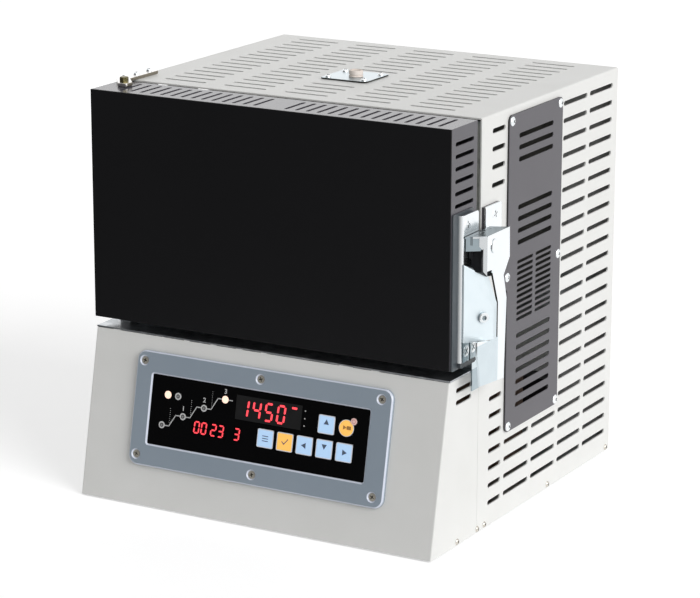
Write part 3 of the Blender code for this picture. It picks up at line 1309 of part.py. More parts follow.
def hook_outline():
    """Arm below the catch pin and a finger behind it, along arcs about the rivet."""
    reach = Vector((CATCH_Y - LATCH_AXIS.y, CATCH_Z - LATCH_AXIS.z))
    angle = math.atan2(reach.y, reach.x)
    clear = CATCH_RADIUS + HOOK_PLAY
    arm = angle - math.asin(clear / reach.length)
    inner = reach.length + clear
    outer = inner + HOOK_THICKNESS
    points = [(HOOK_ROOT, arm)]
    for step in range(HOOK_STEPS + 1):
        points.append((inner, arm + (HOOK_OPEN + angle - arm) * step / HOOK_STEPS))
    for step in range(HOOK_STEPS + 1):
        points.append((outer, angle + HOOK_OPEN - (HOOK_OPEN + angle - arm + HOOK_DEEP)
                       * step / HOOK_STEPS))
    points.append((HOOK_ROOT, arm - HOOK_DEEP))
    return [(LATCH_AXIS.y + radius * math.cos(turn), LATCH_AXIS.z + radius * math.sin(turn))
            for radius, turn in points]


def latch_lever():
    """Pressed lever: outer cheek, roof and slanted face, short inner cheek and the hook."""
    outer = LATCH_FACE
    inner = LATCH_FACE - LEVER_DEPTH
    front = CHEEK[0][0]
    rear = CHEEK[1][0]
    overlap = CHEEK_SHEET * HALF_SHARE
    mesh = slab("latch_lever", CHEEK, CHEEK_SHEET, on_side(outer - overlap))
    lever = place("latch_lever", mesh, "polished_zinc", LATCH)
    roof = [(inner, LEVER_FRONT), (outer - overlap, front - GAP),
            (outer - overlap, rear - overlap), (inner, LEVER_REAR)]
    fuse(lever, slab("lever_roof", roof, CHEEK_SHEET - GAP,
                     at_height(LEVER_HIGH - GAP - overlap)))
    run = Vector((LEVER_DEPTH, front - LEVER_FRONT))
    angle = math.atan2(run.y, run.x)
    where = (Matrix.Translation((inner, LEVER_FRONT, 0)) @ Matrix.Rotation(angle, 4, "Z")
             @ on_front(overlap + GAP))
    start = (CHEEK_SHEET + GAP) * math.tan(angle)
    end = run.length - overlap
    side = run.length - LEVER_NECK_WIDTH
    face = [(start, LEVER_FACE_LOW), (side, LEVER_FACE_LOW), (side, LEVER_NECK_LOW),
            (end, LEVER_NECK_LOW), (end, LEVER_HIGH - overlap),
            (start, LEVER_HIGH - overlap)]
    fuse(lever, slab("lever_face", face, CHEEK_SHEET, where))
    back = ((inner + GAP, INNER_CHEEK_FRONT, INNER_CHEEK_LOW),
            (inner + CHEEK_SHEET, INNER_CHEEK_REAR, LEVER_HIGH - overlap))
    fuse(lever, boxes("lever_back", [back]))
    start = inner + CHEEK_SHEET + GAP
    middle = (start + outer - overlap) * HALF_SHARE
    fuse(lever, slab("lever_hook", hook_outline(), outer - overlap - start, on_side(middle)))
    hole = ((inner - OVERRUN, LATCH_AXIS.y, LATCH_AXIS.z),
            (outer + OVERRUN, LATCH_AXIS.y, LATCH_AXIS.z), RIVET_RADIUS + GAP)
    cut(lever, rods("rivet_hole", [hole]))


def latch_guard():
    """Guard strip: a flat face from beside the door, folded once onto the lever's cheek."""
    low_x = HALF_WIDTH + GUARD_INNER_X
    high_x = LATCH_FACE + GAP
    outer = Vector((high_x + GUARD_SHEET, GUARD_BEND_Y - GUARD_SHEET * HALF_SHARE, GUARD_LOW))
    edge = Vector((high_x + GUARD_SHEET, GUARD_EDGE_Y, GUARD_LOW))
    rise = Vector((0, 0, GUARD_MID - GUARD_LOW))
    edge_rise = Vector((0, 0, GUARD_EDGE_MID - GUARD_LOW))
    run = Vector((outer.x - low_x, outer.y - GUARD_INNER_Y, 0))
    inward = Vector((-run.y, run.x, 0)).normalized() * GUARD_SHEET
    back = Vector((-GUARD_SHEET, 0, 0))
    top_x = LATCH_FACE - GUARD_TOP_IN
    top_y = GUARD_INNER_Y + (top_x - low_x) * run.y / run.x
    top = Vector((top_x, top_y, GUARD_TOP_Z))
    top_edge = Vector((top_x + GUARD_SHEET, top_y + GUARD_TOP_STRIP, GUARD_TOP_EDGE_Z))
    bends = ((outer, edge, GUARD_LOW), (outer + rise, edge + edge_rise, GUARD_MID),
             (top, top_edge, GUARD_HIGH))
    sections = []
    for bend, lip, z in bends:
        left = Vector((low_x, GUARD_INNER_Y, z))
        inside = bend + inward + (back - inward) * HALF_SHARE
        sections.append([left, bend, lip, lip + back, inside, left + inward])
    guard = place("latch_guard", loft("latch_guard", sections), "polished_zinc", LATCH)
    spot = Vector((low_x, GUARD_INNER_Y, GUARD_BOLT_Z)) + run * GUARD_BOLT_SHARE
    out = Vector((run.y, -run.x, 0)).normalized()
    hole = (spot - out * GUARD_SHANK, spot + out * GUARD_SHANK, GUARD_SHANK_RADIUS + GAP)
    cut(guard, rods("bolt_hole", [hole]))
    return spot, out


def latch_bolt(spot, out):
    seat = spot + out * GAP
    head = (seat, seat + out * GUARD_BOLT_HEIGHT, GUARD_BOLT_RADIUS)
    shank = (spot - out * GUARD_SHANK, seat + out * GUARD_BOLT_HEIGHT * HALF_SHARE,
             GUARD_SHANK_RADIUS)
    bolt = place("latch_bolt", rods("latch_bolt", [head]), "polished_zinc", LATCH)
    fuse(bolt, rods("bolt_shank", [shank]))


def build():
    outer_cover()
    side_plate()
    front_frame()
    seal_frame()
    mouth_collar()
    inner_casing()
    insulation_muffle()
    hearth_plate()
    heating_elements()
    thermocouple()
    bay_divider()
    rear_panel()
    fan_frame()
    fan_rotor()
    fan_guard()
    power_inlet()
    power_switch()
    bottom_pan()
    feet()
    bay_parts()
    base_housing()
    base_top_plate()
    panel_bezel()
    control_panel()
    displays()
    keys()
    control_board()
    door_shell()
    door_front_panel()
    door_back_plate()
    door_insulation()
    hinges()
    stand_off("latch_door_bracket", BRACKET_STAND, BRACKET_FRONT, BRACKET_REAR, BRACKET_LOW,
              BRACKET_HIGH, DOOR)
    stand_off("keeper_bracket", KEEPER_STAND, KEEPER_FRONT, KEEPER_REAR, KEEPER_LOW,
              KEEPER_HIGH, ROOT)
    catch_and_rivet()
    latch_lever()
    latch_bolt(*latch_guard())
    ROOT.location = (-X_MID, (BASE_FOOT_DEPTH - SKIRT * math.tan(SLANT) - Y_MAX) * HALF_SHARE, 0)


build()
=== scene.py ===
import math

import bmesh
import bpy
from mathutils import Matrix, Vector


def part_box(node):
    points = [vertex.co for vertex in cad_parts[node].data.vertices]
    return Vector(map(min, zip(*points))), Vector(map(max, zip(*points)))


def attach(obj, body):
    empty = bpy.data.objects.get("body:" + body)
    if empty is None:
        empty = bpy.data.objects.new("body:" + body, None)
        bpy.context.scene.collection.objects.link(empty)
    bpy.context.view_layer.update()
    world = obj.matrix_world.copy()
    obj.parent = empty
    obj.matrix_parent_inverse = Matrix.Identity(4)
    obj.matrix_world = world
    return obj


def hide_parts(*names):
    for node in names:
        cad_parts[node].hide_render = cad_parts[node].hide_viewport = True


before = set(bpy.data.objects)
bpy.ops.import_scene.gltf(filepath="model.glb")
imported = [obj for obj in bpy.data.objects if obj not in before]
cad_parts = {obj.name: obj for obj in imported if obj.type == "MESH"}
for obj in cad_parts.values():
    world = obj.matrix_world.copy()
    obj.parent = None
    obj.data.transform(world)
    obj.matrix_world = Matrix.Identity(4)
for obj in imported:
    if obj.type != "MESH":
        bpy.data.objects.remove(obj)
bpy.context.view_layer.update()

# Bottom pan, shelf, front sheet and casing: the furnace is built up from these. They are cut
# and folded from hot-dip galvanised steel, 1.5 mm thick, and riveted to each other. Their CAD
# shapes are right, so only their finish is made here.


def srgb(code):
    """Turns a hex colour as it looks on a screen into the linear values that shaders take."""
    parts = [int(code[start:start + 2], 16) / 255 for start in (1, 3, 5)]
    linear = [part / 12.92 if part <= 0.04045 else ((part + 0.055) / 1.055) ** 2.4
              for part in parts]
    return (*linear, 1.0)


def add_node(tree, kind, values=None, **settings):
    """Adds a node. Values go to its inputs by name or place: numbers, colours or links."""
    made = tree.nodes.new(kind)
    for name, setting in settings.items():
        setattr(made, name, setting)
    for place, value in (values or {}).items():
        if isinstance(value, bpy.types.NodeSocket):
            tree.links.new(value, made.inputs[place])
        else:
            made.inputs[place].default_value = value
    return made


def start_material(name, colour, roughness, metallic=0.0, specular=0.5):
    """A material with its plain numbers on the shader's own sockets."""
    made = bpy.data.materials.new(name)
    made.use_nodes = True
    shader = made.node_tree.nodes["Principled BSDF"]
    for socket, value in (("Base Color", srgb(colour)), ("Roughness", roughness),
                          ("Metallic", metallic), ("Specular IOR Level", specular)):
        shader.inputs[socket].default_value = value
    return made, made.node_tree, shader


def dress(material, *names):
    """Gives CAD nodes whose shape is right their finished surface."""
    for name in names:
        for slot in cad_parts[name].material_slots:
            slot.material = material


# Galvanised steel: zinc crystals a few millimetres across, each a slightly different grey and
# gloss, because every crystal reflects in its own direction.
SPANGLE = 0.006
galvanised, tree, shader = start_material("galvanised_steel", "#b4b8bb", 0.36, 1.0)
place = add_node(tree, "ShaderNodeTexCoord").outputs["Object"]
cells = add_node(tree, "ShaderNodeTexVoronoi", {"Vector": place, "Scale": 1 / SPANGLE})
shade = add_node(tree, "ShaderNodeSeparateColor", {0: cells.outputs["Color"]})
tone = add_node(tree, "ShaderNodeMix", {0: shade.outputs[0], 6: srgb("#a6abaf"),
                                        7: srgb("#c4c7ca")}, data_type="RGBA")
gloss = add_node(tree, "ShaderNodeMapRange", {0: shade.outputs[1], 3: 0.28, 4: 0.46})
tree.links.new(tone.outputs[2], shader.inputs["Base Color"])
tree.links.new(gloss.outputs[0], shader.inputs["Roughness"])
dress(galvanised, "bottom_pan", "bay_divider", "front_frame")

# Inner casing: the same sheet in a black stove paint, brownish grey in clouds. Its dark paint
# is painted shade as well: it is what shows as darkness behind the slots of the cover.


def vary(tree, shader, values, kind="Noise", tones=None, gloss=None, bump=None, **settings):
    """Adds a pattern in the object's own coordinates. It mixes two tones, moves the roughness
    between two values, and lifts the surface by a strength and a distance."""
    place = add_node(tree, "ShaderNodeTexCoord").outputs["Object"]
    pattern = add_node(tree, "ShaderNodeTex" + kind, {"Vector": place, **values}, **settings)
    factor = pattern.outputs["Fac"]
    if tones:
        tone = add_node(tree, "ShaderNodeMix", {0: factor, 6: srgb(tones[0]),
                                                7: srgb(tones[1])}, data_type="RGBA")
        tree.links.new(tone.outputs[2], shader.inputs["Base Color"])
    if gloss:
        rough = add_node(tree, "ShaderNodeMapRange", {0: factor, 3: gloss[0], 4: gloss[1]})
        tree.links.new(rough.outputs[0], shader.inputs["Roughness"])
    if bump:
        rise = add_node(tree, "ShaderNodeBump", {"Strength": bump[0], "Distance": bump[1],
                                                 "Height": factor})
        tree.links.new(rise.outputs[0], shader.inputs["Normal"])
    return factor


def finish(name, colour, roughness, values, metallic=0.0, specular=0.5, **effects):
    """A material that one pattern varies; the effects are those of vary."""
    made, tree, shader = start_material(name, colour, roughness, metallic, specular)
    vary(tree, shader, values, **effects)
    return made


shade_stove_paint = finish("stove_paint_painted_shade", "#2b2a26", 0.7, {"Scale": 26.0, "Detail": 4.0},
                     tones=("#141413", "#45433c"))
dress(shade_stove_paint, "inner_casing")

# Feet: four turned rubber pads pressed into the pan. Moulded black rubber, matt, with a dusty
# bloom that greys it in soft patches.
rubber = finish("moulded_rubber", "#191919", 0.82, {"Scale": 140.0, "Detail": 4.0},
                tones=("#121212", "#2a2a29"), bump=(0.35, 0.0002))
dress(rubber, "foot_1", "foot_2", "foot_3", "foot_4")

# Transformer and contactor on the floor of the bay. The transformer is a stack of varnished
# iron sheets with a winding round its middle leg; the stack shows as fine level lines.
LAMINATION = 0.0012
WAVE_LENGTH = 0.314  # of a wave texture at scale 1
core_varnish = finish("varnished_laminations", "#5a4436", 0.42,
                      {"Scale": WAVE_LENGTH / LAMINATION}, metallic=0.4, kind="Wave",
                      tones=("#3b2b22", "#7a5f4c"), bump=(0.5, 0.0003), bands_direction="Z")
dress(core_varnish, "transformer")

# Moulded black polyamide: the fan, the contactor, the mains inlet and the switch. The mould
# was spark eroded, which leaves a fine even grain and a dull sheen.
GRAIN = 0.0005
polyamide = finish("moulded_polyamide", "#1c1c1d", 0.5, {"Scale": 1 / GRAIN},
                   gloss=(0.42, 0.6), bump=(0.25, 0.0001))
dress(polyamide, "power_relay", "fan_frame", "fan_rotor", "power_inlet", "switch_frame",
      "switch_rocker")

# Insulation: boards of ceramic fibre, vacuum formed and machined to size, round the chamber
# and in the door. White and quite matt, with a felted surface and a few darker flecks.
FELT = 0.0015
fibre_board = finish("ceramic_fibre_board", "#e9e5dc", 0.95,
                     {"Scale": 1 / FELT, "Detail": 6.0, "Distortion": 1.5},
                     tones=("#d2cabb", "#f4f1ea"), bump=(0.6, 0.0004))
dress(fibre_board, "insulation_muffle", "door_insulation")

# Mouth collar, hearth plate and the head of the thermocouple: fired alumina, slip cast. It is
# a warm, slightly pink white, a little glossy where the firing skin is left.
alumina = finish("fired_alumina", "#e2d6cd", 0.55, {"Scale": 220.0, "Detail": 5.0},
                 tones=("#cfc1b7", "#efe6de"), bump=(0.2, 0.0002))
dress(alumina, "mouth_collar", "hearth_plate")

# Heating elements: U-shaped rods of molybdenum disilicide that hang from the roof. They are
# dark grey with a thin glassy skin from their first firing, lighter in places.
element_skin = finish("glazed_disilicide", "#3d3b3a", 0.32, {"Scale": 260.0, "Detail": 3.0},
                      metallic=0.5, tones=("#2c2a2a", "#5d5855"))
dress(element_skin, "heating_element_1", "heating_element_2", "heating_element_3",
      "heating_element_4")

# Outer cover: the top and both sides, bent from one steel sheet and punched with rows of
# round-ended vent slots, then powder coated white. A large opening in its right side gives
# access to the wiring and is closed by the dark cover plate.
SHEET = 0.0015
BEND = 0.0018
BEND_STEPS = 5
SLOT_SIDES = 12
SLOT_WIDTH = 0.0050
SLOT_PITCH = 0.0176
PUNCH = 0.008
TOP_PITCH = 0.0698
SIDE_PITCH = 0.0609
# All lengths are metres in the layout: x from the middle of the shell, y from the seam at the
# door to the rear, z from the bench.
cover_low, cover_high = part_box("outer_cover")
ORIGIN = Vector(((cover_low.x + cover_high.x) / 2, cover_low.y, 0))
HALF_WIDTH = (cover_high.x - cover_low.x) / 2
DEPTH = cover_high.y - cover_low.y
TOP = cover_high.z


def block(bm, low, high):
    """A box between two corners."""
    size = Vector(high) - Vector(low)
    where = Matrix.Translation((Vector(high) + Vector(low)) / 2) @ Matrix.Diagonal((*size, 1))
    return bmesh.ops.create_cube(bm, size=1, matrix=where)["verts"]


def new_block(low, high):
    """A new mesh that holds one box."""
    bm = bmesh.new()
    block(bm, low, high)
    return bm


def cylinder(bm, radius, depth, where, sides=24):
    """A round bar, or one with few sides, about the Z axis of a matrix."""
    return bmesh.ops.create_cone(bm, cap_ends=True, segments=sides, radius1=radius,
                                 radius2=radius, depth=depth, matrix=where)["verts"]


def edges_along(bm, axis, keep=lambda middle: True):
    """Edges that run along an axis and whose middles pass a test."""
    found = []
    for edge in bm.edges:
        run = (edge.verts[1].co - edge.verts[0].co).normalized()
        if abs(run[axis]) > 0.999 and keep((edge.verts[0].co + edge.verts[1].co) / 2):
            found.append(edge)
    return found


def round_off(bm, edges, radius, segments):
    bmesh.ops.bevel(bm, geom=edges, offset=radius, offset_type="OFFSET", segments=segments,
                    profile=0.5, affect="EDGES", material=-1, clamp_overlap=True)


def slot_tool(bm, centre, along, through, length, width=SLOT_WIDTH, depth=PUNCH):
    """A round-ended bar, the shape that a punch leaves."""
    verts = cylinder(bm, width / 2, depth, Matrix.Rotation(math.pi / SLOT_SIDES, 4, "Z"),
                     SLOT_SIDES)
    for vert in verts:
        vert.co.x += math.copysign((length - width) / 2, vert.co.x)
    across = Vector(through).cross(Vector(along))
    turn = Matrix((along, across, through)).transposed().to_4x4()
    bmesh.ops.transform(bm, matrix=Matrix.Translation(centre) @ turn, verts=verts)


def cut_away(work, tool, solver="EXACT", operation="DIFFERENCE"):
    """Cuts one closed shape from another, or joins them, and gives back the result."""
    holders = []
    for name, shape in (("work", work), ("tool", tool)):
        mesh = bpy.data.meshes.new(name)
        mesh.materials.append(None)
        mesh.materials.append(None)
        shape.to_mesh(mesh)
        shape.free()
        holder = bpy.data.objects.new(name, mesh)
        bpy.context.scene.collection.objects.link(holder)
        holders.append(holder)
    modifier = holders[0].modifiers.new("cut", "BOOLEAN")
    modifier.operation = operation
    modifier.solver = solver
    modifier.object = holders[1]
    result = bmesh.new()
    result.from_object(holders[0], bpy.context.evaluated_depsgraph_get())
    for holder in holders:
        mesh = holder.data
        bpy.data.objects.remove(holder, do_unlink=True)
        bpy.data.meshes.remove(mesh)
    return result


def add_piece(name, bm, body, slot, *materials, crease=35):
    """Makes a piece from a mesh in layout coordinates, puts it in the frame and rides it."""
    bmesh.ops.translate(bm, vec=ORIGIN, verts=bm.verts)
    mesh = bpy.data.meshes.new(name)
    bm.to_mesh(mesh)
    bm.free()
    for material in materials:
        mesh.materials.append(material)
    mesh.shade_smooth()
    mesh.set_sharp_from_angle(angle=math.radians(crease))
    piece = bpy.data.objects.new(name, mesh)
    bpy.context.scene.collection.objects.link(piece)
    even = piece.modifiers.new("even_shading", "WEIGHTED_NORMAL")
    even.keep_sharp = True
    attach(piece, body)
    return piece


def powder_coat(name, colour, shadow, roughness, orange_peel):
    """Powder coat: the powder melts into a skin with a slight orange peel, a millimetre or two
    from crest to crest, and a faint cloudiness in its tone."""
    made, tree, shader = start_material(name, colour, roughness)
    vary(tree, shader, {"Scale": 18.0, "Detail": 3.0}, tones=(shadow, colour))
    vary(tree, shader, {"Scale": 1 / 0.0016, "Detail": 2.0},
         gloss=(roughness - 0.04, roughness + 0.05), bump=(orange_peel, 0.00005))
    return made


white_coat = powder_coat("white_powder_coat", "#ebebe9", "#e2e2df", 0.45, 0.5)

bm = new_block((-HALF_WIDTH, 0, cover_low.z), (HALF_WIDTH, DEPTH, TOP))
round_off(bm, edges_along(bm, 1, lambda middle: middle.z > TOP / 2), BEND, BEND_STEPS)
ends = [face for face in bm.faces if abs(face.normal.y) > 0.9 or face.normal.z < -0.9]
bmesh.ops.delete(bm, geom=ends, context="FACES")
bmesh.ops.solidify(bm, geom=bm.faces[:], thickness=SHEET)

tool = bmesh.new()
ROWS, COLUMNS = 16, 5
FLANGE_ROWS = (4, 5, 6, 7)
for row in range(ROWS):
    for column in range(COLUMNS):
        if column == 2 and row in FLANGE_ROWS:
            continue
        spot = (-0.0042 + TOP_PITCH * (column - 2), 0.022 + SLOT_PITCH * row, TOP)
        slot_tool(tool, spot, (1, 0, 0), (0, 0, 1), 0.050)
SIDE_ROWS = 22
for side in (-1, 1):
    for row in range(SIDE_ROWS):
        z = 0.0250 + SLOT_PITCH * row
        starts = [(0.0562 + SIDE_PITCH * column, 0.0546) for column in range(4)]
        if row < 7 or row > 17:
            starts.append((0.0225, 0.0270))
        for start, length in starts:
            hidden = side > 0 and 0.088 < z < 0.404 and 0.05 < start < 0.171
            if not hidden:
                slot_tool(tool, (side * HALF_WIDTH, start + length / 2, z), (0, 1, 0),
                          (side, 0, 0), length)
block(tool, (HALF_WIDTH - 0.01, 0.064, 0.104), (HALF_WIDTH + 0.01, 0.161, 0.388))
bm = cut_away(bm, tool, "MANIFOLD")
# The inner faces of the sheet take the dark stove paint: painted shade behind the slots.
for face in bm.faces:
    middle = face.calc_center_median()
    inside = abs(middle.x) < HALF_WIDTH - SHEET * 0.9 and middle.z < TOP - SHEET * 0.9
    face.material_index = int(inside)
shell = add_piece("outer_cover_sheet", bm, "housing", "white_coat", white_coat, shade_stove_paint)
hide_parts("outer_cover")

# Rear panel: white powder-coated sheet between the ends of the cover, with three columns of
# vent slots, a round hole for the fan and cut-outs for the mains inlet and the switch.
REAR_PITCH = 0.110


def layout_box(name):
    """The corners of a CAD node's box, in the layout."""
    return [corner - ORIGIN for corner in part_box(name)]


rear_low, rear_high = layout_box("rear_panel")
fan_low, fan_high = layout_box("fan_frame")
FAN_CENTRE = (fan_low + fan_high) / 2
FAN_RADIUS = 0.0565
bm = new_block(rear_low, rear_high)
tool = bmesh.new()
for row in range(8):
    for column in (-1, 0, 1):
        slot_tool(tool, (REAR_PITCH * column, rear_high.y, 0.235 + SLOT_PITCH * row), (1, 0, 0),
                  (0, 1, 0), 0.080, depth=0.012)
for name in ("power_inlet", "switch_frame"):
    low, high = layout_box(name)
    rim = Vector((0.003, 0, 0.003))
    block(tool, low + rim, high - rim)
fan_hole = Vector((FAN_CENTRE.x, rear_high.y, FAN_CENTRE.z))
cylinder(tool, FAN_RADIUS, 0.02,
         Matrix.Translation(fan_hole) @ Matrix.Rotation(math.pi / 2, 4, "X"), 64)
bm = cut_away(bm, tool)
panel = add_piece("rear_panel_sheet", bm, "housing", "white_coat", white_coat)
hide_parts("rear_panel")

# Fan guard: rings of 1.6 mm steel wire spot welded to four arms with an eye at each end,
# nickel plated. The eyes take the fan's screws.
WIRE = 0.0008


def wire_ring(bm, centre, radius, steps=48):
    """A closed ring of round wire in the plane of the rear wall."""
    ring = bmesh.ops.create_circle(bm, segments=8, radius=WIRE,
                                   matrix=Matrix.Translation(centre + Vector((radius, 0, 0))))
    edges = {edge for vert in ring["verts"] for edge in vert.link_edges}
    bmesh.ops.spin(bm, geom=ring["verts"] + list(edges), cent=centre, axis=(0, 1, 0),
                   angle=math.tau, steps=steps, use_merge=True, use_duplicate=False)


def facing(seat, out, turn=0.0):
    """Seats a shape at a point with its Z axis along a direction, turned about that axis."""
    return (Matrix.Translation(seat)
            @ Vector((0, 0, 1)).rotation_difference(Vector(out)).to_matrix().to_4x4()
            @ Matrix.Rotation(turn, 4, "Z"))


def bar(bm, start, end):
    """A straight length of wire between two points."""
    run = end - start
    cylinder(bm, WIRE, run.length, facing((start + end) / 2, run), 8)


nickel = finish("nickel_plated_steel", "#c9c5bc", 0.22, {"Scale": 300.0, "Detail": 3.0},
                metallic=1.0, gloss=(0.14, 0.34))

INNER_RING = 0.014
EYE_REACH, EYE_RADIUS = 0.0742, 0.003
fan_seat = fan_hole + Vector((0, 0.0003 + WIRE, 0))
bm = bmesh.new()
for radius in (INNER_RING, 0.0225, 0.031, 0.0395, 0.048, FAN_RADIUS):
    wire_ring(bm, fan_seat, radius)
for quarter in range(4):
    turn = Matrix.Rotation(math.radians(45 + 90 * quarter), 3, "Y")
    bar(bm, fan_seat + turn @ Vector((INNER_RING, 0, 0)),
        fan_seat + turn @ Vector((EYE_REACH - EYE_RADIUS, 0, 0)))
    wire_ring(bm, fan_seat + turn @ Vector((EYE_REACH, 0, 0)), EYE_RADIUS, 16)
bmesh.ops.recalc_face_normals(bm, faces=bm.faces)
guard = add_piece("fan_guard_wire", bm, "housing", "galvanised_sheet", nickel)
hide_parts("fan_guard")

# Cover plate on the right side: 1 mm steel sheet with a dark grey textured powder coat, set
# on a black foam rubber gasket that stands it off the white wall. Round-ended slots in four
# groups let the wiring bay breathe.
dark_coat = powder_coat("dark_grey_powder_coat", "#59575c", "#525055", 0.42, 0.7)
plate_low, plate_high = layout_box("side_cover")
PLATE_FRONT = plate_low.y + 0.0075
PLATE_SHEET = 0.001
TAB = (0.2370, 0.2550)
TAB_FLARE = 0.0075


def plate_shape(near, far, inset):
    """The outline of the plate with its small tab in front, between two planes."""
    bm = new_block((near, PLATE_FRONT + inset, plate_low.z + inset),
                   (far, plate_high.y - inset, plate_high.z - inset))
    round_off(bm, edges_along(bm, 0), 0.006 - inset, 5)
    tab = bmesh.new()
    for vert in block(tab, (near, plate_low.y + inset, TAB[0] + inset),
                      (far, PLATE_FRONT + 0.004, TAB[1] - inset)):
        if vert.co.y > PLATE_FRONT:
            vert.co.z += math.copysign(TAB_FLARE, vert.co.z - sum(TAB) / 2)
    round_off(tab, edges_along(tab, 0, lambda middle: middle.y < PLATE_FRONT), 0.003, 4)
    return cut_away(bm, tab, operation="UNION")


def soften(piece, width, segments=2):
    """Rounds the edges of a finished piece by a fraction of a millimetre."""
    edge = piece.modifiers.new("edge", "BEVEL")
    edge.width = width
    edge.segments = segments


bm = plate_shape(plate_high.x - PLATE_SHEET, plate_high.x, 0)
tool = bmesh.new()
height = plate_high.z - plate_low.z
for share, count in zip((0.854, 0.5934, 0.0741), (3, 4, 7)):
    for index in range(count):
        z = plate_low.z + height * (share + 0.0371 * index)
        slot_tool(tool, (plate_high.x, 0.1126, z), (0, 1, 0), (1, 0, 0), 0.0752, 0.0048, 0.006)
for index in range(11):
    z = plate_low.z + height * (0.3494 + 0.01823 * index)
    for y in (0.0923, 0.1329):
        slot_tool(tool, (plate_high.x, y, z), (0, 1, 0), (1, 0, 0), 0.0346, 0.0033, 0.006)
bm = cut_away(bm, tool)
plate = add_piece("side_cover_plate", bm, "housing", "dark_grey_coat", dark_coat)
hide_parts("side_cover")
soften(plate, 0.0003)

# The gasket's black also stands in for the shade under the edge of the plate: painted shade.
bm = plate_shape(plate_low.x, plate_high.x - PLATE_SHEET, 0.0002)
tool = new_block((plate_low.x - 0.01, 0.063, 0.103), (plate_high.x + 0.01, 0.162, 0.389))
bm = cut_away(bm, tool)
add_piece("side_cover_gasket", bm, "housing", "black_rubber", rubber)

# Console: the slanted front and both cheeks are bent from one white powder-coated sheet,
# with a window for the control panel and two small vent slots in each cheek.
CONSOLE_FOOT = 0.094
CONSOLE_TOP_DEPTH = 0.059
CONSOLE_TOP = 0.170
SLANT = math.atan2(CONSOLE_FOOT - CONSOLE_TOP_DEPTH, CONSOLE_TOP)
SLOPE = (Matrix.Translation((0, -CONSOLE_FOOT, 0))
         @ Matrix.Rotation(math.pi / 2 - SLANT, 4, "X"))
WINDOW = (-0.0025, 0.09975)
WINDOW_SIZE = (0.247, 0.0705)
console_low, console_high = layout_box("base_housing")


def slope_y(z):
    return -CONSOLE_FOOT + z * math.tan(SLANT)


def slope_block(bm, centre, size, low, high):
    """A box on the slope, by the centre and the size of its outline and its two heights."""
    reach_x, reach_s = size[0] / 2, size[1] / 2
    block(bm, (centre[0] - reach_x, centre[1] - reach_s, low),
          (centre[0] + reach_x, centre[1] + reach_s, high))


def lay_on_slope(bm):
    """Turns a mesh that was made lying flat into the plane of the slanted front."""
    bmesh.ops.transform(bm, matrix=SLOPE, verts=bm.verts)


bm = bmesh.new()
for vert in block(bm, console_low, console_high):
    if vert.co.y < -0.05:
        vert.co.y = slope_y(vert.co.z)
front = [edge for edge in bm.edges
         if all(abs(vert.co.y - slope_y(vert.co.z)) < 0.0001 for vert in edge.verts)
         and abs(edge.verts[0].co.z - edge.verts[1].co.z) > 0.1]
round_off(bm, front, BEND, BEND_STEPS)
bm.normal_update()
ends = [face for face in bm.faces if face.normal.y > 0.9 or abs(face.normal.z) > 0.9]
bmesh.ops.delete(bm, geom=ends, context="FACES")
bmesh.ops.solidify(bm, geom=bm.faces[:], thickness=SHEET)
tool = bmesh.new()
slope_block(tool, WINDOW, WINDOW_SIZE, -0.008, 0.008)
lay_on_slope(tool)
for side in (-1, 1):
    for z in (0.157, 0.145):
        slot_tool(tool, (side * HALF_WIDTH, -0.03075, z), (0, 1, 0), (side, 0, 0), 0.0315)
bm = cut_away(bm, tool)
console = add_piece("console_sheet", bm, "housing", "white_coat", white_coat)
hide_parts("base_housing")
dress(galvanised, "base_top_plate")

# Control board behind the panel: glass fibre laminate under a green solder resist, in which
# the copper tracks show as slightly lighter, level bands.
TRACK = 0.0025
laminate, tree, shader = start_material("solder_resist_laminate", "#1f6a42", 0.35)
place = add_node(tree, "ShaderNodeTexCoord").outputs["Object"]
tracks = add_node(tree, "ShaderNodeTexBrick", {"Vector": place, "Scale": 1 / (TRACK * 8),
                                               "Color1": srgb("#1c5f3b"),
                                               "Color2": srgb("#27784d"),
                                               "Mortar": srgb("#3f9063")})
tree.links.new(tracks.outputs["Color"], shader.inputs["Base Color"])
dress(laminate, "control_board")

# Bezel: a 4 mm aluminium plate with chamfers milled round its edge and its window, then
# coated a satin blue-grey. Its chamfers and countersinks take a pale coat as painted highlight.
# Six countersunk screws hold it on the slope.
BEZEL = (-0.0007, 0.0995)
BEZEL_SIZE = (0.2898, 0.115)
BEZEL_LOW, BEZEL_FACE = 0.0003, 0.0043
BEZEL_SCREWS = [(x, s) for x in (-0.137, -0.0025, 0.132) for s in (0.0526, 0.1467)]
SINK = 0.0053
bezel_coat = powder_coat("satin_blue_grey_coat", "#97a3af", "#8f9ca9", 0.42, 0.25)
chamfer_highlight_coat = powder_coat("chamfer_painted_highlight", "#dde3f0", "#d3dae8", 0.25, 0.1)

bm = bmesh.new()
slope_block(bm, BEZEL, BEZEL_SIZE, BEZEL_LOW, BEZEL_FACE)
round_off(bm, edges_along(bm, 2), 0.010, 8)
tool = bmesh.new()
slope_block(tool, WINDOW, WINDOW_SIZE, -0.01, 0.01)
round_off(tool, edges_along(tool, 2), 0.002, 4)
bm = cut_away(bm, tool)
rims = [edge for edge in bm.edges
        if all(abs(vert.co.z - BEZEL_FACE) < 0.00001 for vert in edge.verts)
        and edge.calc_face_angle(0) > 1]
bmesh.ops.bevel(bm, geom=rims, offset=0.0014, offset_type="OFFSET", segments=1, profile=0.5,
                 affect="EDGES", material=1, clamp_overlap=True)
tool = bmesh.new()
for x, s in BEZEL_SCREWS:
    bmesh.ops.create_cone(tool, cap_ends=True, segments=32, radius1=0.0026, radius2=SINK,
                          depth=0.0028, matrix=Matrix.Translation((x, s, BEZEL_FACE - 0.00139)))
# The countersinks take the pale chamfer coat: a painted highlight.
for face in tool.faces:
    face.material_index = 1
bm = cut_away(bm, tool)
lay_on_slope(bm)
bezel = add_piece("bezel_plate", bm, "housing", "blue_grey_coat", bezel_coat, chamfer_highlight_coat)
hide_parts("panel_bezel")

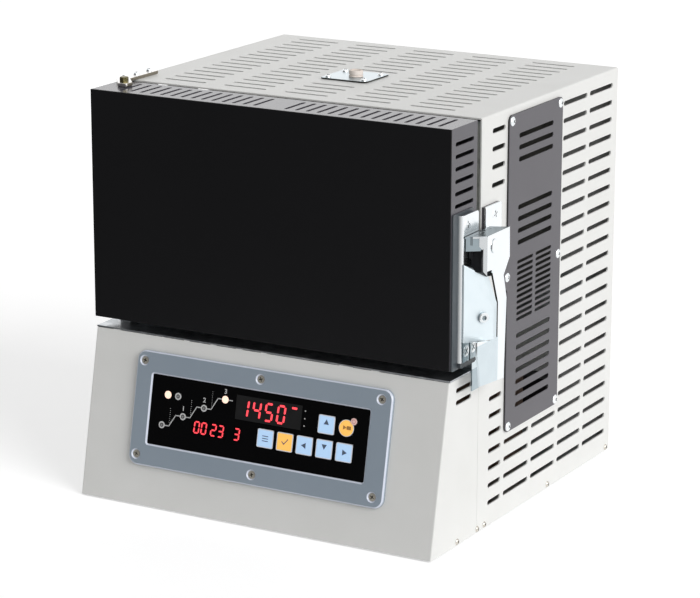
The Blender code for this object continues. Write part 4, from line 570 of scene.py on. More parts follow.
# Control panel: a membrane keypad, printed on the back of a clear polyester film, so that its
# black is deep and even. Its pockets hold the keys and the display windows.
panel_film = finish("printed_polyester_film", "#050506", 0.2, {"Scale": 60.0}, specular=0.12,
                    bump=(0.1, 0.0001))
dress(panel_film, "control_panel")

# Displays: seven-segment modules behind smoked windows. The lit segments are red and glow a
# little into the window round them.
PANEL_FACE = 0.003
window_film = finish("smoked_window", "#232324", 0.12, {"Scale": 90.0}, specular=0.2,
                     tones=("#1e1e1e", "#272728"))
dress(window_film, "main_display")
dress(panel_film, "time_display", "step_display")


def lit(name, colour, strength):
    """A surface that lights itself, a little uneven, as light spreads in a plastic lens."""
    made, tree, shader = start_material(name, colour, 0.3)
    spread = vary(tree, shader, {"Scale": 500.0})
    power = add_node(tree, "ShaderNodeMapRange", {0: spread, 3: strength * 0.85,
                                                  4: strength * 1.15})
    shader.inputs["Emission Color"].default_value = srgb(colour)
    tree.links.new(power.outputs[0], shader.inputs["Emission Strength"])
    return made


segment_red = lit("lit_segment", "#ff4b55", 0.9)
segment_glow = lit("segment_glow", "#8c1219", 0.5)

SEGMENTS = {"0": "abcdef", "1": "bc", "2": "abged", "3": "abgcd", "4": "fgbc", "5": "afgcd",
            "-": "a"}


def paint_faces(verts, material):
    """Gives the faces round some vertices a material of their piece, by its number."""
    for face in {face for vert in verts for face in vert.link_faces}:
        face.material_index = material


def digit(bm, sign, centre, size, stroke, level, material):
    """Flat pointed bars of one digit, leaning to the right as on a real display."""
    width, height = size
    reach = (width - stroke) / 2
    climb = (height - stroke) / 2
    spots = {"a": (0, climb, 0), "g": (0, 0, 0), "d": (0, -climb, 0),
             "b": (reach, climb / 2, 1), "f": (-reach, climb / 2, 1),
             "c": (reach, -climb / 2, 1), "e": (-reach, -climb / 2, 1)}
    for bar_name in SEGMENTS[sign]:
        u, v, upright = spots[bar_name]
        length = (climb if upright else reach * 2) - stroke * 0.6
        verts = cylinder(bm, stroke / 2, 0.00015, Matrix.Rotation(math.pi / 2, 4, "Z"), 6)
        for vert in verts:
            if abs(vert.co.x) > stroke * 0.1:
                vert.co.x += math.copysign((length - stroke) / 2, vert.co.x)
        turn = Matrix.Rotation(math.pi / 2 * upright, 4, "Z")
        bmesh.ops.transform(bm, matrix=Matrix.Translation((u, v, 0)) @ turn, verts=verts)
        for vert in verts:
            vert.co.x += vert.co.y * 0.07
        bmesh.ops.translate(bm, verts=verts, vec=(*centre, level))
        paint_faces(verts, material)


STROKE = 0.0024
SMALL_ROW = 0.0891
bm = bmesh.new()
for index, sign in enumerate("1450-"):
    spot = (-0.0178 + 0.0138 * index, 0.1158)
    digit(bm, sign, spot, (0.0100, 0.0190), STROKE, PANEL_FACE - 0.0001, 0)
for sign, x in zip("00233", (-0.0702, -0.0620, -0.0508, -0.0424, -0.0240)):
    digit(bm, sign, (x, SMALL_ROW), (0.0072, 0.0130), STROKE, PANEL_FACE - 0.0002, 1)
    digit(bm, sign, (x, SMALL_ROW), (0.0068, 0.0124), 0.0014, PANEL_FACE - 0.0001, 0)
lay_on_slope(bm)
add_piece("display_segments", bm, "housing", "display_red", segment_red, segment_glow)

# Marks on the film: the firing curve with its lamps, printed in pale grey, and plain numbers
# over the three holding stages. The lamps are clear spots in the print over small diodes.
print_grey = finish("screen_printed_grey", "#c9c9c9", 0.4, {"Scale": 900.0},
                    tones=("#bcbcbc", "#dadada"))
lamp_lit = lit("lit_lamp_spot", "#ffd9c4", 0.75)
lamp_dark = finish("clear_lamp_spot", "#8d8d8d", 0.25, {"Scale": 700.0},
                   tones=("#6f6f6f", "#a2a2a2"))


def spot_of_ink(bm, centre, radius, low, high, material, sides=24):
    where = Matrix.Translation((*centre, (low + high) / 2))
    paint_faces(cylinder(bm, radius, high - low, where, sides), material)


def line_of_ink(bm, start, end, width, low, high, material):
    start, end = Vector(start), Vector(end)
    run = end - start
    where = (Matrix.Translation((*(start + end) / 2, (low + high) / 2))
             @ Matrix.Rotation(math.atan2(run.y, run.x), 4, "Z")
             @ Matrix.Diagonal((run.length + width, width, high - low, 1)))
    paint_faces(bmesh.ops.create_cube(bm, size=1, matrix=where)["verts"], material)


def numeral(bm, sign, centre, size, level):
    """A plain printed number, converted from a text curve."""
    curve = bpy.data.curves.new("numeral", "FONT")
    curve.body = sign
    curve.size = size
    curve.offset = size * 0.025
    curve.align_x = "CENTER"
    curve.align_y = "CENTER"
    holder = bpy.data.objects.new("numeral", curve)
    bpy.context.scene.collection.objects.link(holder)
    mesh = bpy.data.meshes.new_from_object(
        holder.evaluated_get(bpy.context.evaluated_depsgraph_get()))
    bpy.data.objects.remove(holder, do_unlink=True)
    bpy.data.curves.remove(curve)
    before = set(bm.verts)
    bm.from_mesh(mesh)
    bpy.data.meshes.remove(mesh)
    bmesh.ops.translate(bm, verts=list(set(bm.verts) - before), vec=(*centre, level))


INK = PANEL_FACE + 0.0001
LINE = 0.0009


def lamp_ring(bm, centre, radius):
    """A printed ring round a clear spot, with the dark diode in its middle."""
    spot_of_ink(bm, centre, radius, PANEL_FACE, INK + 0.0001, 0)
    spot_of_ink(bm, centre, 0.0020, INK, INK + 0.0002, 3)
    spot_of_ink(bm, centre, 0.0013, INK, INK + 0.0003, 2)


STAGES = [(-0.1107, 0.0856), (-0.0872, 0.0972), (-0.0639, 0.1091), (-0.0405, 0.1211)]
bm = bmesh.new()
for index, (x, s) in enumerate(STAGES):
    line_of_ink(bm, (x, s), (x + 0.0082, s), LINE, PANEL_FACE, INK, 0)
    if index < 3:
        after = STAGES[index + 1]
        foot = (after[0] - 0.0083, after[1])
        line_of_ink(bm, (x + 0.0082, s), foot, LINE, PANEL_FACE, INK, 0)
        line_of_ink(bm, foot, after, LINE, PANEL_FACE, INK, 0)
        for dot in range(8):
            spot_of_ink(bm, (x + 0.0085, s + 0.0035 + 0.002 * dot), 0.0003, PANEL_FACE, INK,
                        0, 8)
        lamp_ring(bm, (x, s), 0.0035)
    else:
        spot_of_ink(bm, (x, s), 0.0037, PANEL_FACE, INK + 0.0001, 1)
for sign, (x, s) in zip("123", STAGES[1:]):
    numeral(bm, sign, (x - 0.0002, s + 0.0078), 0.0064, INK)
spot_of_ink(bm, (-0.1066, 0.1163), 0.0038, PANEL_FACE, INK + 0.0001, 1)
lamp_ring(bm, (-0.0948, 0.1163), 0.0036)
for s in (0.1234, 0.1159, 0.1088):
    spot_of_ink(bm, (0.0503, s), 0.0007, PANEL_FACE, INK, 0, 12)
lay_on_slope(bm)
add_piece("panel_print", bm, "housing", "gloss_black", print_grey, lamp_lit, lamp_dark,
          panel_film)

# Keys: embossed areas of the film over dome switches. Each has a white border, a light blue
# or orange field and a grey-blue sign; the program, confirm and start keys carry plain signs.


def printed_film(name, colour, darker, glow=0.0):
    """Screen print on a velvet polyester film: even, with the fine dots of its texture. A glow
    adds a little painted light to a key's field, in its own colour."""
    made, tree, shader = start_material(name, colour, 0.45)
    shader.inputs["Emission Color"].default_value = srgb(colour)
    shader.inputs["Emission Strength"].default_value = glow
    vary(tree, shader, {"Scale": 1600.0}, tones=(darker, colour), bump=(0.2, 0.00005))
    return made


key_white = printed_film("key_film_white", "#f2f4f8", "#e8ebf2")
# The blue and orange fields glow a little: painted light that brightens them.
key_blue = printed_film("key_film_blue_painted_glow", "#b6d6f8", "#afd0f2", 0.36)
key_orange = printed_film("key_film_orange_painted_glow", "#ffc564", "#fbbd58", 0.4)
key_ink = printed_film("key_ink_slate", "#5b6b80", "#526276")
key_brown = printed_film("key_ink_brown", "#b98a4a", "#b08040")
KEY_TOP = 0.0033
KEY_HALF = 0.0081
KEY_ROW, KEY_UPPER_ROW = 0.0900, 0.1138
KEYS = {"key_program": (0, KEY_ROW), "key_confirm": (1, KEY_ROW), "key_left": (2, KEY_ROW),
        "key_down": (3, KEY_ROW), "key_right": (4, KEY_ROW), "key_up": (3, KEY_UPPER_ROW),
        "key_start": (4, KEY_UPPER_ROW)}
POINTS = {"key_left": 180, "key_right": 0, "key_up": 90, "key_down": 270}


def point(bm, centre, angle, radius, low, high, material):
    """A filled triangle that points at an angle."""
    where = (Matrix.Translation((*centre, (low + high) / 2))
             @ Matrix.Rotation(math.radians(angle - 90), 4, "Z"))
    paint_faces(cylinder(bm, radius, high - low, where, 3), material)


for name, (column, s) in KEYS.items():
    x = 0.0087 + 0.022 * column
    field = key_orange if name in ("key_confirm", "key_start") else key_blue
    bm = bmesh.new()
    sign = (KEY_TOP + 0.00008, KEY_TOP + 0.00016)
    if name == "key_start":
        spot_of_ink(bm, (x, s), 0.0076, KEY_TOP, sign[0], 0, 40)
        point(bm, (x - 0.0022, s + 0.0004), 0, 0.0026, *sign, 1)
        line_of_ink(bm, (x + 0.0022, s + 0.0004), (x + 0.0034, s + 0.0004), 0.0036, *sign, 1)
    else:
        block(bm, (x - KEY_HALF, s - KEY_HALF, KEY_TOP), (x + KEY_HALF, s + KEY_HALF, sign[0]))
    if name in POINTS:
        lift = {"key_up": 0.0018, "key_down": 0.0028}.get(name, 0)
        point(bm, (x, s + lift), POINTS[name], 0.0034, *sign, 1)
    if name == "key_program":
        for row in (s - 0.0024, s, s + 0.0024):
            line_of_ink(bm, (x - 0.003, row), (x + 0.003, row), 0.0008, *sign, 1)
    if name == "key_confirm":
        low_end = (x - 0.0008, s - 0.0022)
        line_of_ink(bm, (x - 0.0030, s + 0.0002), low_end, LINE, *sign, 1)
        line_of_ink(bm, low_end, (x + 0.0034, s + 0.0028), LINE, *sign, 1)
    lay_on_slope(bm)
    ink = key_brown if name == "key_start" else key_ink
    slot = "key_orange" if field is key_orange else "key_blue"
    add_piece(name + "_print", bm, name + "_cap", slot, field, ink)
    dress(key_white, name)

# Lamp beside the start key: a small clear lens with a pinkish ring, set through the film.
lens_pale = printed_film("lamp_lens_pale", "#ffd9d3", "#f9cdc5")
lens_ring = printed_film("lamp_ring_rose", "#e5968c", "#dd8c82")
bm = bmesh.new()
for radius, low, high, tint in ((0.0017, PANEL_FACE, 0.0037, 0), (0.0034, 0.0035, 0.0038, 0),
                                (0.0021, 0.0038, 0.0039, 1), (0.0016, 0.0039, 0.0040, 0)):
    spot_of_ink(bm, (0.1045, 0.1212), radius, low, high, tint)
lay_on_slope(bm)
add_piece("start_lamp_lens", bm, "housing", "key_orange", lens_pale, lens_ring)

# Screws: pressed steel heads with a cross recess, zinc or nickel plated. One head is made and
# set wherever a screw holds two sheets together.


def turned(profile, steps=32):
    """A mesh spun about Z from points (radius, z) that start and end on the axis."""
    bm = bmesh.new()
    verts = [bm.verts.new((radius, 0, z)) for radius, z in profile]
    edges = [bm.edges.new(pair) for pair in zip(verts, verts[1:])]
    bmesh.ops.spin(bm, geom=verts + edges, cent=(0, 0, 0), axis=(0, 0, 1), angle=math.tau,
                   steps=steps, use_merge=True, use_duplicate=False)
    bmesh.ops.remove_doubles(bm, verts=bm.verts, dist=0.000001)
    bmesh.ops.recalc_face_normals(bm, faces=bm.faces)
    return bm


def cross_head(profile, reach, width, depth):
    """A turned head with a cross recess; the faces of the recess take the second material."""
    top = max(z for _, z in profile)
    head = turned(profile)
    both = new_block((-reach, -width / 2, top - depth), (reach, width / 2, top + 0.002))
    other = new_block((-width / 2, -reach, top - depth), (width / 2, reach, top + 0.002))
    both = cut_away(both, other, operation="UNION")
    for face in both.faces:
        face.material_index = 1
    head = cut_away(head, both)
    mesh = bpy.data.meshes.new("screw_head")
    head.to_mesh(mesh)
    head.free()
    return mesh


def set_screw(bm, head, seat, out, turn=0.0):
    """Adds a copy of a head, seated at a point and facing out of the sheet."""
    before = set(bm.verts)
    bm.from_mesh(head)
    bmesh.ops.transform(bm, matrix=facing(seat, out, turn),
                        verts=list(set(bm.verts) - before))


recess = finish("screw_recess_shade", "#2a2926", 0.6, {"Scale": 1500.0}, metallic=0.6,
                tones=("#1f1e1c", "#38362f"))

# Bright zinc: steel plated in a barrel and passivated clear. It mirrors the room softly, with
# a faint blue cast and a slightly uneven gloss.
zinc = finish("bright_zinc_plate", "#eef2f5", 0.2, {"Scale": 45.0, "Detail": 4.0}, metallic=1.0,
              tones=("#ebf2f6", "#fcfdfd"), gloss=(0.14, 0.28))


def plated(name, low, high, roughness):
    """Zinc plate between two tones of one colour; several copies are toned down as painted
    shade.
    """
    return finish(name, high, roughness, {"Scale": 60.0, "Detail": 4.0}, metallic=1.0,
                  tones=(low, high))


# Toned copies of the zinc for faces in shade: pale blue, grey and darker grey, all painted
# shade.
pale_zinc_shade = plated("blue_zinc_painted_shade", "#cfdbe1", "#dae5ea", 0.22)
zinc_painted_shadow = plated("zinc_painted_shadow", "#a5b3ba", "#bccad0", 0.3)
shade_zinc = plated("grey_zinc_painted_shade", "#818b90", "#959fa4", 0.3)

pan_head = cross_head([(0, 0.0021), (0.0022, 0.0020), (0.0036, 0.0015), (0.0046, 0.0006),
                       (0.0047, 0), (0, 0)], 0.0020, 0.0009, 0.0012)
small_head = cross_head([(0, 0.0016), (0.0018, 0.0015), (0.0027, 0.0010), (0.0031, 0.0003),
                         (0.0031, 0), (0, 0)], 0.0016, 0.0007, 0.0009)
dome_head = cross_head([(0, 0.0028), (0.0013, 0.0027), (0.0024, 0.0021), (0.0031, 0.0010),
                        (0.0032, 0), (0, 0)], 0.0018, 0.0012, 0.0014)
flush_head = cross_head([(0, 0.0004), (0.0040, 0.0003), (0.0055, 0.0001), (0.0060, -0.0004),
                         (0, -0.0004)], 0.0036, 0.0015, 0.0008)
flat_head = cross_head([(0, 0.0), (0.0036, 0.0), (0.0039, -0.0002), (0.0024, -0.0016),
                        (0, -0.0016)], 0.0022, 0.0009, 0.0012)

stainless = finish("worn_stainless", "#aaa69b", 0.45, {"Scale": 700.0, "Detail": 3.0},
                   metallic=0.35, tones=("#9d998e", "#b8b4aa"))
bm = bmesh.new()
for x, s in BEZEL_SCREWS:
    set_screw(bm, flat_head, (x, s, BEZEL_FACE - 0.0009), (0, 0, 1), 0.35 + x * 5)
lay_on_slope(bm)
add_piece("bezel_screws", bm, "housing", "blue_grey_coat", stainless, recess)

bm = bmesh.new()
for y, z in ((0.0595, 0.3980), (0.1652, 0.3980), (0.1655, 0.2454), (0.0530, 0.2460),
             (0.1652, 0.0938), (0.0595, 0.0938)):
    set_screw(bm, pan_head, (plate_high.x, y, z), (1, 0, 0), y * 40)
add_piece("side_cover_screws", bm, "housing", "polished_zinc", zinc, recess)

bm = bmesh.new()
for side in (-1, 1):
    for y in (-0.041, 0.001, 0.016, 0.157, 0.298):
        set_screw(bm, small_head, (side * HALF_WIDTH, y, 0.0052), (side, 0, 0), y * 60)
for x in (-0.185, -0.062, 0.062, 0.185):
    for z in (0.014, 0.398):
        set_screw(bm, small_head, (x, rear_high.y, z), (0, 1, 0), x * 30)
for corner in range(4):
    turn = Matrix.Rotation(math.radians(45 + 90 * corner), 3, "Y")
    spot = fan_seat + turn @ Vector((EYE_REACH, 0, 0)) + Vector((0, WIRE, 0))
    set_screw(bm, small_head, spot, (0, 1, 0), corner)
add_piece("case_screws", bm, "housing", "polished_zinc", nickel, recess)

# Thermocouple flange: a bright zinc plate over the hole in the roof, held by four pan head
# screws, with the ceramic head standing in it.
flange_low, flange_high = layout_box("thermocouple_plate")
bm = new_block(flange_low, flange_high)
round_off(bm, edges_along(bm, 2), 0.0045, 5)
probe_low, probe_high = layout_box("thermocouple_sheath")
probe = (probe_low + probe_high) / 2
tool = bmesh.new()
cylinder(tool, 0.0038, 0.02, Matrix.Translation((probe.x, probe.y, TOP)), 32)
bm = cut_away(bm, tool)
# The plate's edges and the wall of its hole take the dark recess colour: painted shade.
for face in bm.faces:
    face.material_index = int(abs(face.normal.z) < 0.5)
flange_zinc = plated("satin_zinc_plate", "#bcc5ca", "#c8d0d4", 0.35)
flange = add_piece("thermocouple_flange", bm, "housing", "polished_zinc", flange_zinc, recess)
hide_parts("thermocouple_plate")
soften(flange, 0.0003)
bm = bmesh.new()
for x, y in ((-0.0250, 0.1018), (0.0161, 0.1018), (-0.0250, 0.1367), (0.0160, 0.1366)):
    set_screw(bm, dome_head, (x, y, flange_high.z), (0, 0, 1), x * 70)
add_piece("flange_screws", bm, "housing", "polished_zinc", zinc, recess)

# Thermocouple: its head is a fired ceramic bead with a groove round it and a dished top, on
# the thin closed tube that reaches down through the roof into the chamber.
HEAD_RADIUS, TUBE_RADIUS = 0.00725, 0.0035
bm = turned([(0, 0.0052), (0.0042, 0.0053), (0.0047, 0.0061), (0.0060, 0.0066),
             (0.0069, 0.0062), (HEAD_RADIUS, 0.0052), (HEAD_RADIUS, 0.0024), (0.0063, 0.0019),
             (0.0063, 0.0015), (HEAD_RADIUS, 0.0010), (HEAD_RADIUS, 0), (TUBE_RADIUS, 0),
             (TUBE_RADIUS, probe_low.z - flange_high.z - 0.0003),
             (0, probe_low.z - flange_high.z - 0.0003)], 48)
bmesh.ops.translate(bm, vec=(probe.x, probe.y, flange_high.z + 0.0003), verts=bm.verts)
bead = add_piece("thermocouple_bead", bm, "housing", "alumina", alumina)
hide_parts("thermocouple_sheath")

# Door tray: a shallow box folded from steel sheet with the same dark grey coat as the cover
# plate. Round-ended slots along its top, bottom and upper sides let the heat of the door out.
door_low, door_high = layout_box("door_shell")
HINGE_X = -HALF_WIDTH + 0.020
HINGE_Y = -0.032
HINGE_HOLE = 0.0033
door_coat = powder_coat("door_grey_powder_coat", "#545258", "#4d4b51", 0.24, 0.4)
bm = new_block(door_low, door_high)
round_off(bm, [edge for edge in bm.edges
               if not all(vert.co.y > door_high.y - 0.001 for vert in edge.verts)
               and not all(vert.co.y < door_low.y + 0.002 for vert in edge.verts)], 0.0006, 2)
inner = new_block((door_low.x + SHEET, door_low.y + SHEET, door_low.z + SHEET),
                  (door_high.x - SHEET, door_high.y + 0.01, door_high.z - SHEET))
bm = cut_away(bm, inner)
tool = bmesh.new()
DOOR_PITCH = (HALF_WIDTH - 0.0353) / 14
DOOR_SLOT = 0.004
slot_start, slot_end = door_low.y + 0.0075, door_high.y - 0.007
middle_y = (slot_start + slot_end) / 2
length = slot_end - slot_start
for side in (-1, 1):
    for index in range(15):
        x = side * (HALF_WIDTH - 0.0178 - DOOR_PITCH * index)
        if abs(x - HINGE_X) > DOOR_PITCH / 2:
            for z in (door_low.z, door_high.z):
                slot_tool(tool, (x, middle_y, z), (0, 1, 0), (0, 0, 1), length, DOOR_SLOT)
    for index in range(6):
        z = door_high.z - 0.0155 - 0.0118 * index
        slot_tool(tool, (side * HALF_WIDTH, middle_y, z), (0, 1, 0), (side, 0, 0), length,
                  DOOR_SLOT)
for z in (door_low.z, door_high.z):
    cylinder(tool, HINGE_HOLE, 0.008, Matrix.Translation((HINGE_X, HINGE_Y, z)))
bm = cut_away(bm, tool)
tray = add_piece("door_tray", bm, "door", "dark_grey_coat", door_coat)
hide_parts("door_shell")
dress(galvanised, "door_back_plate")

# Heat shields in the door: two strips of blued sheet under the slots at its top and bottom,
# which keep the fibre out of sight and the draught along the front.
blued_steel = finish("blued_steel", "#232226", 0.5, {"Scale": 120.0, "Detail": 3.0},
                     metallic=0.3, tones=("#1b1a1e", "#2b2a30"))
bm = bmesh.new()
for z in (door_low.z + 0.0085, door_high.z - 0.0095):
    for low, high in ((door_low.x + SHEET + 0.0005, HINGE_X - 0.006),
                      (HINGE_X + 0.006, door_high.x - SHEET - 0.0005)):
        block(bm, (low, door_low.y + SHEET + 0.0005, z), (high, door_high.y - 0.0035, z + 0.001))
add_piece("door_heat_shields", bm, "door", "black_coat", blued_steel)

# Door front: a black printed polyester film bonded over the whole face of the tray. Satin and
# even, it shows the light only as a faint lift of its black.
door_film, tree, shader = start_material("satin_black_film", "#141416", 0.5, specular=0.15)
vary(tree, shader, {"Scale": 9.0}, tones=("#131315", "#161618"))
vary(tree, shader, {"Scale": 1200.0}, bump=(0.2, 0.00003))
film_low, film_high = layout_box("door_front_panel")
bm = new_block(film_low, (film_high.x, door_low.y, film_high.z))
round_off(bm, [edge for edge in bm.edges
               if all(vert.co.y < film_low.y + 0.0001 for vert in edge.verts)], 0.0004, 2)
film = add_piece("door_front_film", bm, "door", "black_coat", door_film)
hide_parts("door_front_panel")

# Seal: a frame of glass fibre rope laid round the front of the shell, olive grey from its
# binder. The strands run slantwise round the rope and show as a fine twill.
STRAND = 0.0022
rope = finish("glass_fibre_rope", "#77766a", 0.9,
              {"Scale": WAVE_LENGTH / STRAND, "Distortion": 1.2}, kind="Wave",
              tones=("#62615a", "#8a897c"), bump=(0.7, 0.0005), bands_direction="DIAGONAL")
seal_low, seal_high = layout_box("seal_frame")
bm = new_block(seal_low, seal_high)
inset = Vector((0.012, -0.01, 0.012))
bm = cut_away(bm, new_block(seal_low + inset, seal_high - inset))
round_off(bm, [edge for edge in bm.edges
               if all(vert.co.y < seal_low.y + 0.0001 for vert in edge.verts)], 0.0035, 4)
seal = add_piece("seal_rope", bm, "housing", "seal_rope", rope, crease=50)
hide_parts("seal_frame")

# Hinges: a bright steel strap on the roof and one under the door carry the two pins that the
# door turns on. Three domed screws hold the upper strap; its pin has a brass head.


def pressed(outline, where, thickness):
    """A new mesh: a flat outline made a plate. Where puts the plane of the outline, and the
    plate grows along its third axis."""
    bm = bmesh.new()
    verts = [bm.verts.new((*spot, 0)) for spot in outline]
    grown = bmesh.ops.extrude_face_region(bm, geom=[bm.faces.new(verts)])["geom"]
    raised = [item for item in grown if isinstance(item, bmesh.types.BMVert)]
    bmesh.ops.translate(bm, vec=(0, 0, thickness), verts=raised)
    bmesh.ops.transform(bm, matrix=where, verts=verts + raised)
    bmesh.ops.recalc_face_normals(bm, faces=bm.faces)
    return bm


brass = finish("dull_brass", "#8d8458", 0.35, {"Scale": 420.0}, metallic=1.0,
               tones=("#544e34", "#857d56"))
worn_zinc = plated("yellowed_zinc", "#dcd8d5", "#e6e3e0", 0.3)
strap_flank_shade = plated("zinc_flank_painted_shade", "#857f72", "#989184", 0.45)
STRAP_OUTLINE = ((-0.1990, -0.0180), (-0.1855, -0.0350), (-0.1835, -0.0385),
                 (-0.1745, -0.0385), (-0.1730, -0.0370), (-0.1730, -0.0280),
                 (-0.1862, -0.0120), (-0.1862, 0.0385), (-0.1990, 0.0385))
STRAP_SHEET = 0.0035
strap_foot = layout_box("hinge_strap_top")[0].z
STRAP_TOP = strap_foot + STRAP_SHEET
bm = pressed(STRAP_OUTLINE, Matrix.Translation((0, 0, strap_foot)), STRAP_SHEET)
# The strap's sides take a darker zinc: painted shade.
for face in bm.faces:
    face.material_index = int(abs(face.normal.z) < 0.5 and face.normal.y > -0.5)
hole = bmesh.new()
cylinder(hole, HINGE_HOLE, 0.03, Matrix.Translation((HINGE_X, HINGE_Y, TOP)))
bm = cut_away(bm, hole)
strap = add_piece("hinge_strap_bar", bm, "housing", "polished_zinc", worn_zinc, strap_flank_shade)
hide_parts("hinge_strap_top")
soften(strap, 0.0006, 3)
bm = bmesh.new()
for y in (-0.0142, 0.0086, 0.0314):
    set_screw(bm, dome_head, (-0.1927, y, STRAP_TOP), (0, 0, 1), y * 90)
add_piece("hinge_screws", bm, "housing", "polished_zinc", zinc, recess)

# Hinge bolt: a brass hexagon head with a chamfered top over the strap, on the pin that runs
# down through the strap into the door.
pin_foot = layout_box("hinge_pin_top")[0].z
bm = bmesh.new()
cylinder(bm, 0.0046, 0.0055, Matrix.Translation((0, 0, 0.00275)), 6)
dome = turned([(0, 0.0060), (0.0036, 0.0056), (0.0052, 0.0042), (0.0052, -0.001), (0, -0.001)],
              36)
bm = cut_away(bm, dome, operation="INTERSECT")
shank = bmesh.new()
cylinder(shank, 0.0030, STRAP_TOP + 0.001 - pin_foot,
         Matrix.Translation((0, 0, (pin_foot + 0.001 - STRAP_TOP) / 2)))
bm = cut_away(bm, shank, operation="UNION")
bmesh.ops.rotate(bm, verts=bm.verts, matrix=Matrix.Rotation(0.35, 3, "Z"))
bmesh.ops.translate(bm, vec=(HINGE_X, HINGE_Y, STRAP_TOP), verts=bm.verts)
bolt = add_piece("hinge_bolt", bm, "housing", "polished_zinc", brass)
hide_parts("hinge_pin_top")
dress(zinc, "hinge_strap_bottom", "hinge_pin_bottom", "keeper_pin")

# Latch bracket on the end of the door: a bright zinc plate with rounded corners on a stepped
# spacer with a dark coat, and two screws at its lower end beside the slot for the lever.
BRACKET = ((-0.0505, 0.1860), (-0.0178, 0.3280))
PLATE_X = (0.2050, 0.2070)
SHADOW_TOP, SHADOW_EDGE = 0.206, -0.0478


def split_at(bm, axis, place):
    """Divides the faces along a plane across an axis, and leaves the mesh closed."""
    normal = Vector([float(index == axis) for index in range(3)])
    bmesh.ops.bisect_plane(bm, geom=bm.verts[:] + bm.edges[:] + bm.faces[:],
                           plane_co=normal * place, plane_no=normal)


# The spacer reaches in front of the plate; its dark coat is also painted shade beside the
# bracket.
bm = new_block((0.2003, -0.0590, 0.1790), (0.2015, -0.0175, 0.3300))
round_off(bm, edges_along(bm, 0), 0.002, 3)
slate_coat_and_shade = powder_coat("slate_coat_painted_shade", "#4c5257", "#454b50", 0.34, 0.3)
add_piece("latch_spacer", bm, "door", "dark_grey_coat", slate_coat_and_shade)
bm = new_block((0.2018, -0.0480, 0.1800), (0.2048, -0.0165, 0.3265))
round_off(bm, edges_along(bm, 0), 0.0025, 4)
add_piece("latch_packing_plate", bm, "door", "dark_grey_coat", slate_coat_and_shade)

bm = new_block((0.2016, *BRACKET[0]), (PLATE_X[1], *BRACKET[1]))
round_off(bm, edges_along(bm, 0, lambda middle: middle.y > -0.03), 0.003, 4)
round_off(bm, edges_along(bm, 2, lambda middle: middle.y < -0.05 and middle.x > PLATE_X[0]),
          0.0042, 8)
hollow = new_block((0.2000, BRACKET[0][0] + 0.0015, 0.17),
                   (PLATE_X[0], BRACKET[1][0] + 0.01, 0.35))
bm = cut_away(bm, hollow)
tool = bmesh.new()
slot_tool(tool, (PLATE_X[1], -0.0335, 0.1950), (0, 0, 1), (1, 0, 0), 0.018, 0.0026, 0.006)
bm = cut_away(bm, tool)
# Low down, behind the front bend, the plate takes the darker zinc: a painted shadow of the
# guard.
split_at(bm, 2, SHADOW_TOP)
split_at(bm, 1, SHADOW_EDGE)
for face in bm.faces:
    middle = face.calc_center_median()
    if middle.z < SHADOW_TOP and middle.y > SHADOW_EDGE:
        face.material_index = 1
plate = add_piece("latch_bracket_plate", bm, "door", "polished_zinc", zinc, zinc_painted_shadow)
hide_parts("latch_door_bracket")
soften(plate, 0.0004)
bm = bmesh.new()
for y, z in ((-0.0402, 0.3185), (-0.0405, 0.1963), (-0.0262, 0.1970)):
    set_screw(bm, flush_head, (PLATE_X[1], y, z), (1, 0, 0), z * 20)
add_piece("latch_bracket_screws", bm, "door", "polished_zinc", zinc, recess)

# Keeper on the shell: a bright zinc plate on a dark spacer, with the steel pin that the hook
# of the lever closes round. The pin is pressed into the plate.
KEEPER_BACK, KEEPER_FACE = 0.2030, 0.2050
bm = new_block((0.2003, 0.0015, 0.2625), (KEEPER_BACK, 0.0335, 0.3255))
add_piece("keeper_spacer", bm, "housing", "dark_grey_coat", dark_coat)
bm = new_block((KEEPER_BACK, 0.0010, 0.262), (KEEPER_FACE, 0.0340, 0.3260))
round_off(bm, edges_along(bm, 0), 0.0025, 4)
keeper = add_piece("keeper_plate", bm, "housing", "polished_zinc", zinc)
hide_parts("keeper_bracket")
soften(keeper, 0.0004)
bm = bmesh.new()
for y, z in ((0.0206, 0.3161), (0.0265, 0.2705)):
    set_screw(bm, flush_head, (KEEPER_FACE, y, z), (1, 0, 0), z * 31)
add_piece("keeper_screws", bm, "housing", "polished_zinc", zinc, recess)

# Door rest: a bent zinc-plated plate in the seam under the latch, which the closed door sits
# on, and a clip of grey zinc that hooks it over the edge of the console. The clip's grey is a
# painted shadow of the lever; the plate takes the pale blue zinc of the lever's finger.
bm = new_block((0.1900, -0.0165, CONSOLE_TOP + 0.0009), (HALF_WIDTH + 0.0010, -0.0030, 0.1786))
round_off(bm, edges_along(bm, 0), 0.001, 3)
for face in bm.faces:
    face.material_index = 1
CLIP_SHEET = 0.0012
clip = new_block((0.1880, -0.0160, CONSOLE_TOP),
                 (HALF_WIDTH + CLIP_SHEET, -0.0018, CONSOLE_TOP + 0.001))
tab = new_block((HALF_WIDTH, -0.0160, 0.1495),
                (HALF_WIDTH + CLIP_SHEET, -0.0018, CONSOLE_TOP + 0.001))
clip = cut_away(clip, tab, operation="UNION")
round_off(clip, edges_along(clip, 1, lambda middle: middle.x > HALF_WIDTH + 0.0005
                            and middle.z > CONSOLE_TOP), 0.0008, 3)
bm = cut_away(bm, clip, operation="UNION")
add_piece("door_rest", bm, "housing", "polished_zinc", zinc_painted_shadow, pale_zinc_shade)

